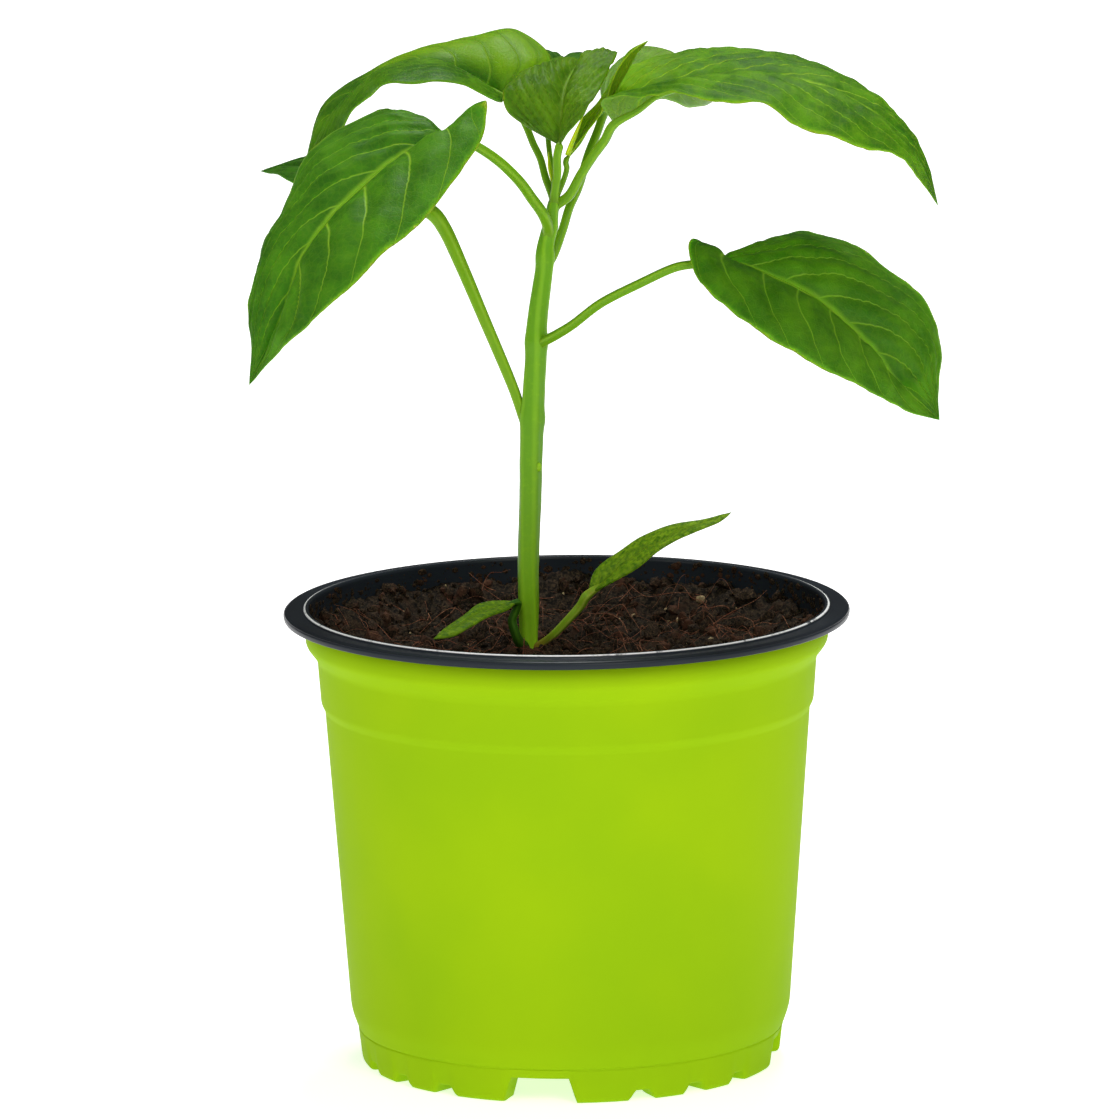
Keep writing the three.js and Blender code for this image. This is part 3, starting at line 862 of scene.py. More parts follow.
@dataclass
class Compost:
    """Peaty compost with crumbs, perlite and rootlets lying in it, heaped a little against the pot's wall."""

    radius: float = 0.0542
    bed: float = 0.0876
    edge: float = 0.0930
    bottom: float = 0.0066
    bottom_radius: float = 0.0436
    crumbs: int = 2300
    crumb_sizes: tuple[float, float] = (0.0003, 0.0021)
    specks: int = 85
    speck_sizes: tuple[float, float] = (0.00022, 0.0011)
    rootlets: int = 340
    rootlet_strides: tuple[float, float] = (0.0006, 0.0042)  # between the seven points of its line
    rootlet_radii: tuple[float, float] = (0.00004, 0.00013)
    wall_specks: int = 1900
    wall_radius: float = 0.0544
    wall_speck_sizes: tuple[float, float] = (0.00012, 0.0009)
    wall_dirt: tuple[float, float] = (0.0012, 0.0056)  # how far below the edge it starts, and its height
    heap_start: float = 0.72  # share of the radius where the compost starts to rise to the wall
    foot_heap: tuple[float, float] = (0.0010, 0.006)  # height and width of the heap round the stem
    lumps: tuple[tuple[float, float], ...] = ((0.016, 0.0014), (0.0055, 0.0017), (0.0024, 0.0014),
                                              (0.0010, 0.0006))  # width and height
    stem_crumbs: int = 130
    stem_crumb_sizes: tuple[float, float] = (0.0004, 0.0015)
    stem_foot: Point = (-0.008, 0.0, 0.088)
    seed: int = 11

    def height_at(self, x: float, y: float) -> float:
        """Give the height of the compost's surface.

        Args:
            x: Place to the right.
            y: Place to the back.

        Returns:
            Its height there.
        """
        out = min(math.hypot(x, y) / self.radius, 1.0)
        height = blend(self.bed, self.edge, smooth_step(self.heap_start, 1.0, out))
        height += 0.0012 * smooth_step(0.6, 1.0, out) * noise.noise(Vector((x / 0.012, y / 0.012, 9.1)))
        lift, width = self.foot_heap
        height += lift * math.exp(-(math.hypot(x - self.stem_foot[0], y) / width) ** 2)
        for size, lift in self.lumps:
            height += lift * noise.noise(Vector((x / size, y / size, 3.7)))
        return height

    def build_bed(self) -> None:
        """Make the body of the compost, which fills the pot below its rough surface."""
        rows, columns, below = 120, 420, 4

        def place(along: float, across: float) -> tuple[Vector, Point]:
            """Return a point of the surface, or of the side and base below it."""
            row = round(along * rows)
            angle = 2 * math.pi * across
            top_rows = rows - below
            if row <= top_rows:
                reach = self.radius * (row / top_rows) ** 0.85
                x, y = reach * math.cos(angle), reach * math.sin(angle)
                return Vector((x, y, self.height_at(x, y))), (0.0, 0.0, 0.0)
            reach, height = ((self.radius - 0.0025, self.bed - 0.001), (self.bottom_radius + 0.001, 0.012),
                             (self.bottom_radius, self.bottom), (0.0, self.bottom))[row - top_rows - 1]
            return Vector((reach * math.cos(angle), reach * math.sin(angle), height)), (0.0, 0.0, 0.0)

        clay = Clay()
        clay.grid(rows, columns, place)
        clay.piece("compost_bed", [PEAT.material()], "soil", ["soil"])

    def scatter(self, clay: Clay, rng: random.Random, count: int, sizes: tuple[float, float],
                reach: float = 1.0, centre: tuple[float, float] = (0.0, 0.0), sink: float = 0.15,
                detail: int = 1) -> None:
        """Strew rough lumps over the surface.

        Args:
            clay: The mesh they are added to.
            rng: Where the random numbers come from.
            count: How many.
            sizes: Smallest and largest radius. Small ones are commoner.
            reach: How far out they lie, as a share of the compost's radius.
            centre: The place they lie round.
            sink: How far each sits in the surface, as a share of its radius.
            detail: Subdivisions of each lump.
        """
        for _ in range(count):
            out = reach * self.radius * math.sqrt(rng.random())
            angle = rng.uniform(0.0, 2 * math.pi)
            x, y = centre[0] + out * math.cos(angle), centre[1] + out * math.sin(angle)
            if math.hypot(x, y) > self.radius * 0.985:
                continue
            size = sizes[0] * (sizes[1] / sizes[0]) ** (rng.random() ** 2.2)
            squeeze = Matrix.Diagonal((rng.uniform(0.7, 1.3), rng.uniform(0.7, 1.3),
                                       rng.uniform(0.5, 0.95), 1.0))
            turn = Euler([rng.uniform(0.0, 6.28) for _ in range(3)]).to_matrix().to_4x4()
            spot = Matrix.Translation((x, y, self.height_at(x, y) + size * (0.5 - sink)))
            lump = bmesh.ops.create_icosphere(clay.mesh, subdivisions=detail, radius=size,
                                              matrix=spot @ turn @ squeeze)["verts"]
            middle = spot.translation
            for corner in lump:
                corner.co = middle + (corner.co - middle) * rng.uniform(0.72, 1.25)

    def dirty_wall(self, clay: Clay, rng: random.Random) -> None:
        """Stick specks of peat to the pot's wall above the compost.

        Args:
            clay: The mesh they are added to.
            rng: Where the random numbers come from.
        """
        for _ in range(self.wall_specks):
            angle = rng.uniform(0.0, 2 * math.pi)
            below, spread = self.wall_dirt
            height = self.edge - below + spread * rng.random() ** 1.8
            x, y = self.wall_radius * math.cos(angle), self.wall_radius * math.sin(angle)
            place = Matrix.Translation((x, y, height))
            turn = Matrix.Rotation(angle, 4, "Z") @ Matrix.Diagonal((0.35, rng.uniform(0.7, 1.6), 1.0, 1.0))
            bmesh.ops.create_icosphere(clay.mesh, subdivisions=1, matrix=place @ turn,
                                       radius=blend(*self.wall_speck_sizes, rng.random() ** 3))

    def build_crumbs(self) -> None:
        """Make the loose crumbs, with a collar of them round the foot of the stem."""
        rng = random.Random(self.seed)
        clay = Clay()
        self.scatter(clay, rng, self.crumbs, self.crumb_sizes)
        self.dirty_wall(clay, rng)
        self.scatter(clay, rng, self.stem_crumbs, self.stem_crumb_sizes, 0.17, self.stem_foot[:2], -0.2)
        clay.piece("compost_crumbs", [CRUMB.material()], "soil")

    def build_specks(self) -> None:
        """Make the pale grains of perlite."""
        rng = random.Random(self.seed + 1)
        clay = Clay()
        self.scatter(clay, rng, self.specks, self.speck_sizes, detail=2)
        clay.piece("perlite_grains", [PERLITE.material()], "perlite")

    def build_rootlets(self) -> None:
        """Make the slender curled rootlets and fibres."""
        rng = random.Random(self.seed + 2)
        clay = Clay()
        for _ in range(self.rootlets):
            out = self.radius * 0.93 * math.sqrt(rng.random())
            angle = rng.uniform(0.0, 2 * math.pi)
            x, y = out * math.cos(angle), out * math.sin(angle)
            heading = rng.uniform(0.0, 2 * math.pi)
            stride = rng.uniform(*self.rootlet_strides)
            lift = 0.0001 + 0.0046 * rng.random() ** 3
            curl = rng.uniform(-0.3, 0.3)
            points = []
            for i in range(7):
                if math.hypot(x, y) > self.radius * 0.97:
                    break
                arch = lift * math.sin(math.pi * i / 6)
                points.append((x, y, self.height_at(x, y) + 0.0001 + arch))
                heading += curl + rng.uniform(-0.4, 0.4)
                x += stride * math.cos(heading)
                y += stride * math.sin(heading)
            if len(points) < 3:
                continue
            thick = rng.uniform(*self.rootlet_radii)
            clay.tube(Rail(points), lambda along, turn: thick * (1.0 - 0.6 * along), 4, 3 * (len(points) - 1))
        clay.piece("compost_rootlets", [ROOTLET.material()], "root_fibre")

    def build(self) -> None:
        """Make the compost and everything in it."""
        self.build_bed()
        self.build_crumbs()
        self.build_specks()
        self.build_rootlets()


# ---------------------------------------------------------------- the stem


STEM_LINE: tuple[Point, ...] = (
    (-0.008, 0.0, 0.070), (-0.008, 0.0, 0.087), (-0.008, 0.0, 0.0905), (-0.008, 0.0, 0.097),
    (-0.008, 0.0, 0.1075), (-0.0075, 0.0, 0.1205), (-0.007, 0.0, 0.1355), (-0.006, 0.0, 0.1505),
    (-0.0055, 0.0, 0.159), (-0.004, 0.0, 0.1695), (-0.0035, 0.0, 0.175), (-0.0025, 0.0, 0.179),
    (-0.002, 0.0, 0.183), (-0.0015, 0.0, 0.1855),
)


@dataclass
class Stem:
    """The ribbed stem, thickest at mid height, with a swelling where each leaf leaves it."""

    line: tuple[Point, ...] = STEM_LINE
    radii: tuple[float, ...] = (0.0014, 0.0018, 0.0019, 0.0021, 0.0022, 0.00235, 0.0025, 0.00225, 0.0021,
                                0.00185, 0.00175, 0.00145, 0.0011, 0.0009)
    nodes: tuple[float, ...] = (0.1380, 0.1545, 0.1725, 0.1785, 0.1830)  # heights where leaves leave it
    ribs: int = 5
    knob: Point = (-0.0056, -0.0015, 0.1278)
    knob_radius: float = 0.0007

    def radius_at(self, rail: Rail, along: float, angle: float) -> float:
        """Give the stem's radius.

        Args:
            rail: Its centre line.
            along: Share of the line.
            angle: Angle round it.

        Returns:
            The radius there.
        """
        place = along * (len(self.radii) - 1)
        index = min(int(place), len(self.radii) - 2)
        size = blend(self.radii[index], self.radii[index + 1], place - index)
        height = rail.at(along).z
        swell = sum(math.exp(-((height - node) / 0.0019) ** 2) for node in self.nodes)
        ribbing = 0.04 * math.cos(self.ribs * angle + 9.0 * along) + 0.012 * math.sin(11 * angle + 30 * along)
        lumps = 0.03 * noise.noise(Vector((math.cos(angle), math.sin(angle), height * 260)))
        return size * (1.0 + 0.13 * min(swell, 1.2) + ribbing + lumps)

    def build(self) -> None:
        """Make the stem."""
        rail = Rail(self.line)
        clay = Clay()
        clay.tube(rail, lambda along, angle: self.radius_at(rail, along, angle), 44, 170,
                  lambda along, angle: (along, 0.5 + 0.5 * math.cos(self.ribs * angle + 9.0 * along), 0.0))
        bmesh.ops.create_icosphere(clay.mesh, subdivisions=3, radius=self.knob_radius,
                                   matrix=Matrix.Translation(self.knob) @ Matrix.Diagonal((1, 1, 1.5, 1)))
        clay.piece("stem_skin", [STEM.material()], "stem", ["stem"])


# ---------------------------------------------------------------- the leaves


@dataclass
class Habit:
    """How a blade is shaped between its veins."""

    quilt: float = 0.0006  # height of the swelling between two side veins
    groove: float = 0.0004  # depth of the fold along the midrib
    ripple: float = 0.0005  # waves of the margin
    waves: float = 5.0
    camber: float = 0.1
    thickness: float = 0.00034
    midrib: float = 1.0  # how much of the stalk's thickness runs on under the blade
    rows: int = 130
    columns: int = 84  # over both skins, a multiple of four


@dataclass
class LeafShape:
    """One leaf: the centre line of its stalk, and its blade's midrib and margins from its base to its tip."""

    name: str
    stalk_radius: tuple[float, float]  # at the stem, and at the blade
    stalk: tuple[Point, ...]
    rib: tuple[Point, ...]
    left: tuple[Point, ...]
    right: tuple[Point, ...]


@dataclass
class Leaf:
    """A leaf with its stalk, grown as one piece."""

    shape: LeafShape
    blade: BladeFinish
    stalk_finish: StalkFinish
    slot: str
    habit: Habit

    ROOT_DROP = 0.0026  # how far below the stalk's first point it starts inside the stem
    LOWEST_ROOT = 0.0862
    NARROW = 0.009  # half-width of a blade below which its relief fades
    FOLD_WIDTH = 0.0009
    THIN_END = 0.00016  # radius of the midrib where it runs out

    def __post_init__(self) -> None:
        """Lay out the rails that the blade is stretched between."""
        self.rib = Rail(self.shape.rib)
        self.left = Rail(self.shape.left)
        self.right = Rail(self.shape.right)

    def station(self, along: float) -> tuple[Vector, Vector, Vector, Vector, Vector, Vector]:
        """Measure the blade at one place along it.

        Args:
            along: Share of the points of its rails.

        Returns:
            The midrib's point, the ways to the left and right margins, the way up at the midrib, and the ways
            up on the left and right halves.
        """
        centre, heading = self.rib.at(along), self.rib.heading(along)
        left, right = self.left.at(along) - centre, self.right.at(along) - centre
        up = (right - left).cross(heading).normalized()
        return centre, left, right, up, (up - left.cross(heading).normalized()), (
            up + right.cross(heading).normalized())

    def swelling(self, along: float, across: float) -> float:
        """Return how far the blade swells between its side veins, from 0 to 1."""
        phase = self.blade.veins.phase(along, across)
        from_vein = abs(phase - round(phase)) * 2.0
        out = abs(across)
        span = smooth_step(0.0, 0.25, out) * (1.0 - 0.85 * smooth_step(0.6, 1.0, out))
        ends = smooth_step(0.0, 0.1, along) * (1.0 - smooth_step(0.86, 1.0, along))
        return (1.0 - (1.0 - from_vein) ** 2) * span * ends

    def relief(self, along: float, across: float, half_width: float, spot: Vector) -> float:
        """Give the height of the blade's relief.

        Args:
            along: Share of the blade's length.
            across: Place from -1, the left margin, to 1.
            half_width: Width of that half of the blade.
            spot: The point on the flat blade.

        Returns:
            How far the blade rises there.
        """
        habit = self.habit
        out = abs(across)
        room = min(half_width / self.NARROW, 1.0)
        quilt = habit.quilt * self.swelling(along, across)
        groove = -habit.groove * math.exp(-(out * half_width / self.FOLD_WIDTH) ** 2)
        phase = 2 * math.pi * habit.waves * along + (1.3 if across > 0 else 0.0)
        ripple = habit.ripple * math.sin(phase) * out ** 3
        uneven = habit.quilt * (0.5 * noise.noise(spot * 220.0) + 0.22 * noise.noise(spot * 600.0))
        return room * (quilt + groove + ripple + uneven)

    def build_blade(self, clay: Clay) -> None:
        """Add the blade: its upper skin out from margin to margin, then its lower skin back.

        Args:
            clay: The mesh it is added to.
        """
        habit = self.habit
        stations: dict[int, tuple] = {}

        def place(along: float, across: float) -> tuple[Vector, Point]:
            """Return a point of the blade's skin."""
            row = round(along * habit.rows)
            share = 0.8 * along + 0.2 * (0.5 - 0.5 * math.cos(math.pi * along))
            if row not in stations:
                stations[row] = self.station(share)
            centre, left, right, up, up_left, up_right = stations[row]
            upper = across < 0.5
            sideways = 4.0 * across - 1.0 if upper else 3.0 - 4.0 * across
            sideways = math.copysign(abs(sideways) ** 0.9, sideways)
            out = abs(sideways)
            side, normal = (left, up_left) if sideways < 0 else (right, up_right)
            if out < 1e-6:
                normal = up
            normal = normal.normalized()
            reach = side.length
            spot = centre + side * out + up * (habit.camber * reach * 4 * out * (1 - out))
            half = habit.thickness / 2 * math.sqrt(max(1.0 - out ** 10, 0.0)) * min(reach / 0.001, 1.0)
            covered = self.rib.covered(share)
            rise = self.relief(covered, sideways, reach, spot) + (half if upper else -half)
            return spot + normal * rise, (covered, sideways, self.swelling(covered, sideways))

        clay.grid(habit.rows, habit.columns, place, lambda across: 0 if across < 0.5 else 1)

    def root(self) -> Point:
        """Return the place inside the stem where the stalk starts, a little below where it comes out."""
        height = max(self.shape.stalk[0][2] - self.ROOT_DROP, self.LOWEST_ROOT)
        line = Rail(STEM_LINE)
        return tuple(min((line.at(i / 400) for i in range(401)), key=lambda spot: abs(spot.z - height)))

    def build_stalk(self, clay: Clay) -> None:
        """Add the stalk, which runs on as the midrib under the blade.

        Args:
            clay: The mesh it is added to.
        """
        at_stem, at_blade = self.shape.stalk_radius
        under = []
        spans = len(self.shape.rib) - 1
        for i, point in enumerate(self.shape.rib[:-1]):
            up = self.station(max(i / spans, 0.02))[3]
            sink = 0.8 * blend(at_blade, 0.0003, (i / spans) ** 0.55) * min(i, 1)
            under.append(tuple(Vector(point) - up * sink))
        points = [self.root(), *self.shape.stalk, *under]
        blade_start = (len(self.shape.stalk) + 1) / (len(points) - 1)

        def radius(along: float, angle: float) -> float:
            """Return the stalk's radius, which is ribbed and widest where it leaves the stem."""
            if along < blade_start:
                size = blend(at_stem, at_blade, along / blade_start)
                size *= 1.0 + 0.25 * math.exp(-along / 0.06)
            else:
                share = (along - blade_start) / (1 - blade_start)
                size = blend(at_blade, self.THIN_END, min(share / 0.06, 1.0) * (1.0 - self.habit.midrib))
                size = blend(size, self.THIN_END, share ** 0.55)
            return size * (1.0 + 0.06 * math.cos(4 * angle + 3.0 * along))

        clay.tube(Rail(points), radius, 20, 9 * len(points),
                  lambda along, angle: (along, 0.5 + 0.5 * math.cos(4 * angle + 3.0 * along), 0.0), 2)

    def build(self) -> None:
        """Make the leaf."""
        clay = Clay()
        self.build_blade(clay)
        self.build_stalk(clay)
        finishes = [self.blade.material(side) for side in Side] + [self.stalk_finish.material()]
        clay.piece(f"{self.shape.name}_skin", finishes, self.slot, [self.shape.name])


@dataclass
class Bud:
    """One of the growing tip's two smallest leaves, still rolled shut into a spike."""

    name: str
    line: tuple[Point, ...]
    radius: float

    def build(self) -> None:
        """Make the bud leaf, as a flattened spindle with a seam down it."""
        clay = Clay()
        clay.tube(Rail(self.line),
                  lambda along, angle: self.radius * (1.0 - 0.9 * along ** 2) * (
                      1.0 + 0.35 * math.cos(2 * angle) - 0.15 * math.exp(-((angle - 3.1) / 0.3) ** 2)),
                  28, 36, lambda along, angle: (along, 0.5 + 0.5 * math.cos(2 * angle), 0.0))
        clay.piece(f"{self.name}_skin", [BUD.material()], "young_leaf", [self.name])


LEAVES = (
    LeafShape(
        name="leaf_front_left",
        stalk_radius=(0.0012, 0.0009),
        stalk=(
            (-0.003, -0.001, 0.1785), (-0.004, -0.004, 0.182), (-0.0065, -0.006, 0.186),
            (-0.009, -0.009, 0.19), (-0.013, -0.012, 0.1945), (-0.0175, -0.014, 0.198),
            (-0.021, -0.014, 0.1995),
        ),
        rib=(
            (-0.024, -0.013, 0.2), (-0.0241, -0.013, 0.2), (-0.0243, -0.0131, 0.1999),
            (-0.0249, -0.0133, 0.1997), (-0.0275, -0.0141, 0.1991), (-0.0345, -0.0166, 0.1964),
            (-0.043, -0.021, 0.19), (-0.05, -0.025, 0.1835), (-0.055, -0.028, 0.176),
            (-0.058, -0.03, 0.167), (-0.0615, -0.031, 0.1585), (-0.0655, -0.031, 0.151),
        ),
        left=(
            (-0.024, -0.013, 0.2), (-0.0215, -0.0125, 0.2006), (-0.0186, -0.0127, 0.2036),
            (-0.0158, -0.0135, 0.2078), (-0.0156, -0.0158, 0.2045), (-0.0175, -0.021, 0.199),
            (-0.0275, -0.033, 0.187), (-0.0365, -0.039, 0.18), (-0.045, -0.042, 0.172),
            (-0.053, -0.041, 0.165), (-0.0605, -0.035, 0.157), (-0.0655, -0.031, 0.151),
        ),
        right=(
            (-0.024, -0.013, 0.2), (-0.0262, -0.0098, 0.2018), (-0.0285, -0.0072, 0.2032),
            (-0.031, -0.005, 0.204), (-0.0348, -0.003, 0.2044), (-0.039, -0.002, 0.204),
            (-0.052, -0.005, 0.197), (-0.0575, -0.011, 0.187), (-0.0625, -0.017, 0.178),
            (-0.0655, -0.024, 0.167), (-0.065, -0.029, 0.159), (-0.0655, -0.031, 0.151),
        ),
    ),
    LeafShape(
        name="leaf_back_left",
        stalk_radius=(0.0009, 0.0016),
        stalk=(
            (-0.0085, 0.0, 0.1375), (-0.011, 0.001, 0.145), (-0.017, 0.003, 0.1595),
            (-0.0215, 0.006, 0.17), (-0.025, 0.008, 0.1775),
        ),
        rib=(
            (-0.028, 0.009, 0.181), (-0.0335, 0.016, 0.183), (-0.04, 0.025, 0.184),
            (-0.0475, 0.036, 0.184), (-0.056, 0.047, 0.1845), (-0.065, 0.055, 0.183),
        ),
        left=(
            (-0.028, 0.009, 0.181), (-0.035, 0.004, 0.1825), (-0.0445, 0.01, 0.1825),
            (-0.052, 0.022, 0.183), (-0.0595, 0.038, 0.184), (-0.065, 0.055, 0.183),
        ),
        right=(
            (-0.028, 0.009, 0.181), (-0.0305, 0.024, 0.184), (-0.0345, 0.037, 0.185),
            (-0.043, 0.049, 0.186), (-0.0525, 0.055, 0.186), (-0.065, 0.055, 0.183),
        ),
    ),
    LeafShape(
        name="leaf_upper_left",
        stalk_radius=(0.0008, 0.0008),
        stalk=(
            (-0.002, 0.002, 0.1845), (-0.0035, 0.005, 0.1885), (-0.0045, 0.008, 0.192),
            (-0.006, 0.01, 0.195), (-0.0075, 0.012, 0.1985), (-0.0095, 0.014, 0.202),
        ),
        rib=(
            (-0.0125, 0.015, 0.2045), (-0.0165, 0.016, 0.207), (-0.0215, 0.017, 0.209),
            (-0.026, 0.018, 0.211), (-0.0315, 0.019, 0.211), (-0.0375, 0.02, 0.2085),
            (-0.043, 0.02, 0.205), (-0.048, 0.019, 0.201), (-0.052, 0.017, 0.195), (-0.055, 0.014, 0.187),
        ),
        left=(
            (-0.0125, 0.015, 0.2045), (-0.013, 0.008, 0.204), (-0.019, 0.0, 0.2085),
            (-0.0255, -0.003, 0.21), (-0.0315, -0.003, 0.21), (-0.0375, -0.001, 0.209),
            (-0.041, 0.004, 0.2055), (-0.045, 0.008, 0.201), (-0.049, 0.011, 0.194),
            (-0.055, 0.014, 0.187),
        ),
        right=(
            (-0.0125, 0.015, 0.2045), (-0.002, 0.022, 0.211), (-0.0095, 0.03, 0.2165),
            (-0.019, 0.033, 0.2145), (-0.0285, 0.034, 0.2115), (-0.037, 0.033, 0.2085),
            (-0.0455, 0.032, 0.204), (-0.051, 0.028, 0.2005), (-0.053, 0.022, 0.1935),
            (-0.055, 0.014, 0.187),
        ),
    ),
    LeafShape(
        name="leaf_centre",
        stalk_radius=(0.0009, 0.0009),
        stalk=(
            (-0.0015, -0.001, 0.1868), (-0.001, -0.002, 0.1905), (-0.001, -0.003, 0.194),
        ),
        rib=(
            (-0.0005, -0.003, 0.1965), (-0.0005, -0.002, 0.1985), (0.0, 0.0, 0.202),
            (0.0005, 0.004, 0.206), (0.0015, 0.009, 0.209), (0.003, 0.015, 0.2105),
            (0.0045, 0.02, 0.2105), (0.007, 0.025, 0.209),
        ),
        left=(
            (-0.0005, -0.003, 0.1965), (-0.0075, 0.001, 0.2), (-0.0115, 0.001, 0.2035),
            (-0.012, 0.003, 0.2075), (-0.0085, 0.009, 0.21), (-0.0035, 0.015, 0.211),
            (0.001, 0.02, 0.211), (0.007, 0.025, 0.209),
        ),
        right=(
            (-0.0005, -0.003, 0.1965), (0.0015, -0.006, 0.1995), (0.0045, -0.005, 0.203),
            (0.0073, -0.0015, 0.2065), (0.0098, 0.006, 0.21), (0.012, 0.012, 0.2135),
            (0.011, 0.019, 0.212), (0.007, 0.025, 0.209),
        ),
    ),
    LeafShape(
        name="leaf_folded",
        stalk_radius=(0.0006, 0.0006),
        stalk=(
            (-0.0005, 0.0015, 0.1865), (0.0005, 0.0015, 0.189), (0.001, 0.001, 0.191),
        ),
        rib=(
            (0.001, 0.001, 0.193), (0.0035, 0.0015, 0.1965), (0.006, 0.0015, 0.2005),
            (0.009, 0.0005, 0.204), (0.013, -0.001, 0.211), (0.0155, -0.002, 0.2155),
            (0.0185, -0.002, 0.2185),
        ),
        left=(
            (0.001, 0.001, 0.193), (0.002, 0.003, 0.1965), (0.0045, 0.003, 0.2015),
            (0.0078, 0.001, 0.2053), (0.0115, -0.0016, 0.2115), (0.014, -0.002, 0.216),
            (0.0185, -0.002, 0.2185),
        ),
        right=(
            (0.001, 0.001, 0.193), (0.003, -0.001, 0.196), (0.0065, -0.002, 0.2005),
            (0.009, -0.003, 0.2045), (0.0115, -0.005, 0.212), (0.015, -0.005, 0.2165),
            (0.0185, -0.002, 0.2185),
        ),
    ),
    LeafShape(
        name="leaf_back",
        stalk_radius=(0.0006, 0.0006),
        stalk=(
            (-0.0017, 0.0024, 0.1875), (-0.0023, 0.0044, 0.1915), (-0.0028, 0.0085, 0.1955),
            (-0.003, 0.0135, 0.2),
        ),
        rib=(
            (-0.003, 0.019, 0.204), (-0.002, 0.027, 0.206), (-0.001, 0.037, 0.208),
            (0.0005, 0.048, 0.208), (0.002, 0.058, 0.2055), (0.0035, 0.066, 0.201),
        ),
        left=(
            (-0.003, 0.019, 0.204), (-0.008, 0.03, 0.2065), (-0.009, 0.041, 0.209),
            (-0.007, 0.052, 0.208), (-0.0025, 0.061, 0.2045), (0.0035, 0.066, 0.201),
        ),
        right=(
            (-0.003, 0.019, 0.204), (0.003, 0.024, 0.2045), (0.006, 0.034, 0.2065),
            (0.0075, 0.045, 0.208), (0.007, 0.056, 0.206), (0.0035, 0.066, 0.201),
        ),
    ),
    LeafShape(
        name="leaf_upper_right",
        stalk_radius=(0.0011, 0.001),
        stalk=(
            (-0.0015, 0.001, 0.183), (0.0015, 0.0, 0.1855), (0.004, -0.001, 0.19),
            (0.0065, -0.002, 0.194), (0.009, -0.003, 0.1975),
        ),
        rib=(
            (0.011, -0.004, 0.201), (0.0155, -0.005, 0.2045), (0.0205, -0.006, 0.208),
            (0.028, -0.007, 0.21), (0.0355, -0.008, 0.2115), (0.0435, -0.009, 0.2115),
            (0.051, -0.01, 0.2105), (0.0575, -0.011, 0.2085), (0.064, -0.012, 0.205),
            (0.0695, -0.013, 0.2), (0.0745, -0.014, 0.1935), (0.0785, -0.014, 0.1845),
        ),
        left=(
            (0.011, -0.004, 0.201), (0.0105, 0.006, 0.2085), (0.016, 0.012, 0.2115),
            (0.025, 0.015, 0.2125), (0.0345, 0.014, 0.2135), (0.043, 0.012, 0.2125),
            (0.0525, 0.01, 0.2105), (0.0605, 0.006, 0.207), (0.067, 0.002, 0.203), (0.072, -0.003, 0.199),
            (0.076, -0.009, 0.1925), (0.0785, -0.014, 0.1845),
        ),
        right=(
            (0.011, -0.004, 0.201), (0.0085, -0.008, 0.207), (0.019, -0.017, 0.209),
            (0.0265, -0.024, 0.2095), (0.035, -0.028, 0.209), (0.043, -0.029, 0.2075),
            (0.0485, -0.03, 0.2045), (0.056, -0.029, 0.201), (0.062, -0.027, 0.199),
            (0.069, -0.023, 0.1965), (0.074, -0.019, 0.1915), (0.0785, -0.014, 0.1845),
        ),
    ),
    LeafShape(
        name="leaf_back_right",
        stalk_radius=(0.001, 0.0009),
        stalk=(
            (-0.002, 0.002, 0.1725), (0.0, 0.004, 0.1775), (0.0015, 0.006, 0.182), (0.0035, 0.009, 0.186),
            (0.0055, 0.012, 0.192), (0.0075, 0.015, 0.1965),
        ),
        rib=(
            (0.009, 0.018, 0.2), (0.011, 0.024, 0.203), (0.0145, 0.032, 0.2055), (0.0195, 0.041, 0.206),
            (0.0245, 0.05, 0.2045), (0.029, 0.057, 0.2005), (0.0325, 0.061, 0.196),
        ),
        left=(
            (0.009, 0.018, 0.2), (0.0085, 0.032, 0.2045), (0.0125, 0.044, 0.208), (0.0185, 0.053, 0.2095),
            (0.024, 0.06, 0.207), (0.029, 0.064, 0.202), (0.0325, 0.061, 0.196),
        ),
        right=(
            (0.009, 0.018, 0.2), (0.013, 0.018, 0.2005), (0.0175, 0.023, 0.201), (0.022, 0.032, 0.201),
            (0.0265, 0.041, 0.198), (0.0305, 0.052, 0.1965), (0.0325, 0.061, 0.196),
        ),
    ),
    LeafShape(
        name="leaf_lower_right",
        stalk_radius=(0.001, 0.0009),
        stalk=(
            (-0.005, -0.001, 0.154), (-0.0015, -0.004, 0.1565), (0.002, -0.006, 0.159),
            (0.008, -0.009, 0.164), (0.016, -0.012, 0.1685), (0.023, -0.014, 0.172),
            (0.0275, -0.0138, 0.1728),
        ),
        rib=(
            (0.0315, -0.0135, 0.1733), (0.0325, -0.014, 0.1736), (0.0335, -0.0148, 0.1739),
            (0.035, -0.016, 0.174), (0.0365, -0.017, 0.1737), (0.04, -0.019, 0.1725), (0.0465, -0.021, 0.17),
            (0.053, -0.023, 0.1665), (0.0585, -0.025, 0.162), (0.0635, -0.027, 0.1575),
            (0.068, -0.028, 0.1515), (0.0715, -0.029, 0.148), (0.078, -0.03, 0.142),
        ),
        left=(
            (0.0315, -0.0135, 0.1733), (0.0318, -0.013, 0.1731), (0.0325, -0.012, 0.1729),
            (0.0337, -0.0103, 0.1734), (0.0358, -0.0083, 0.1741), (0.0415, -0.003, 0.1755),
            (0.0505, -0.002, 0.1775),
            (0.0605, -0.003, 0.175), (0.0685, -0.006, 0.17), (0.0755, -0.011, 0.164),
            (0.079, -0.017, 0.1555), (0.078, -0.024, 0.1485), (0.078, -0.03, 0.142),
        ),
        right=(
            (0.0315, -0.0135, 0.1733), (0.029, -0.0115, 0.1755), (0.0272, -0.0115, 0.1778),
            (0.0262, -0.0155, 0.1762), (0.0282, -0.0245, 0.171), (0.0355, -0.035, 0.1655),
            (0.041, -0.039, 0.162),
            (0.0475, -0.042, 0.1585), (0.0535, -0.043, 0.155), (0.0595, -0.041, 0.152),
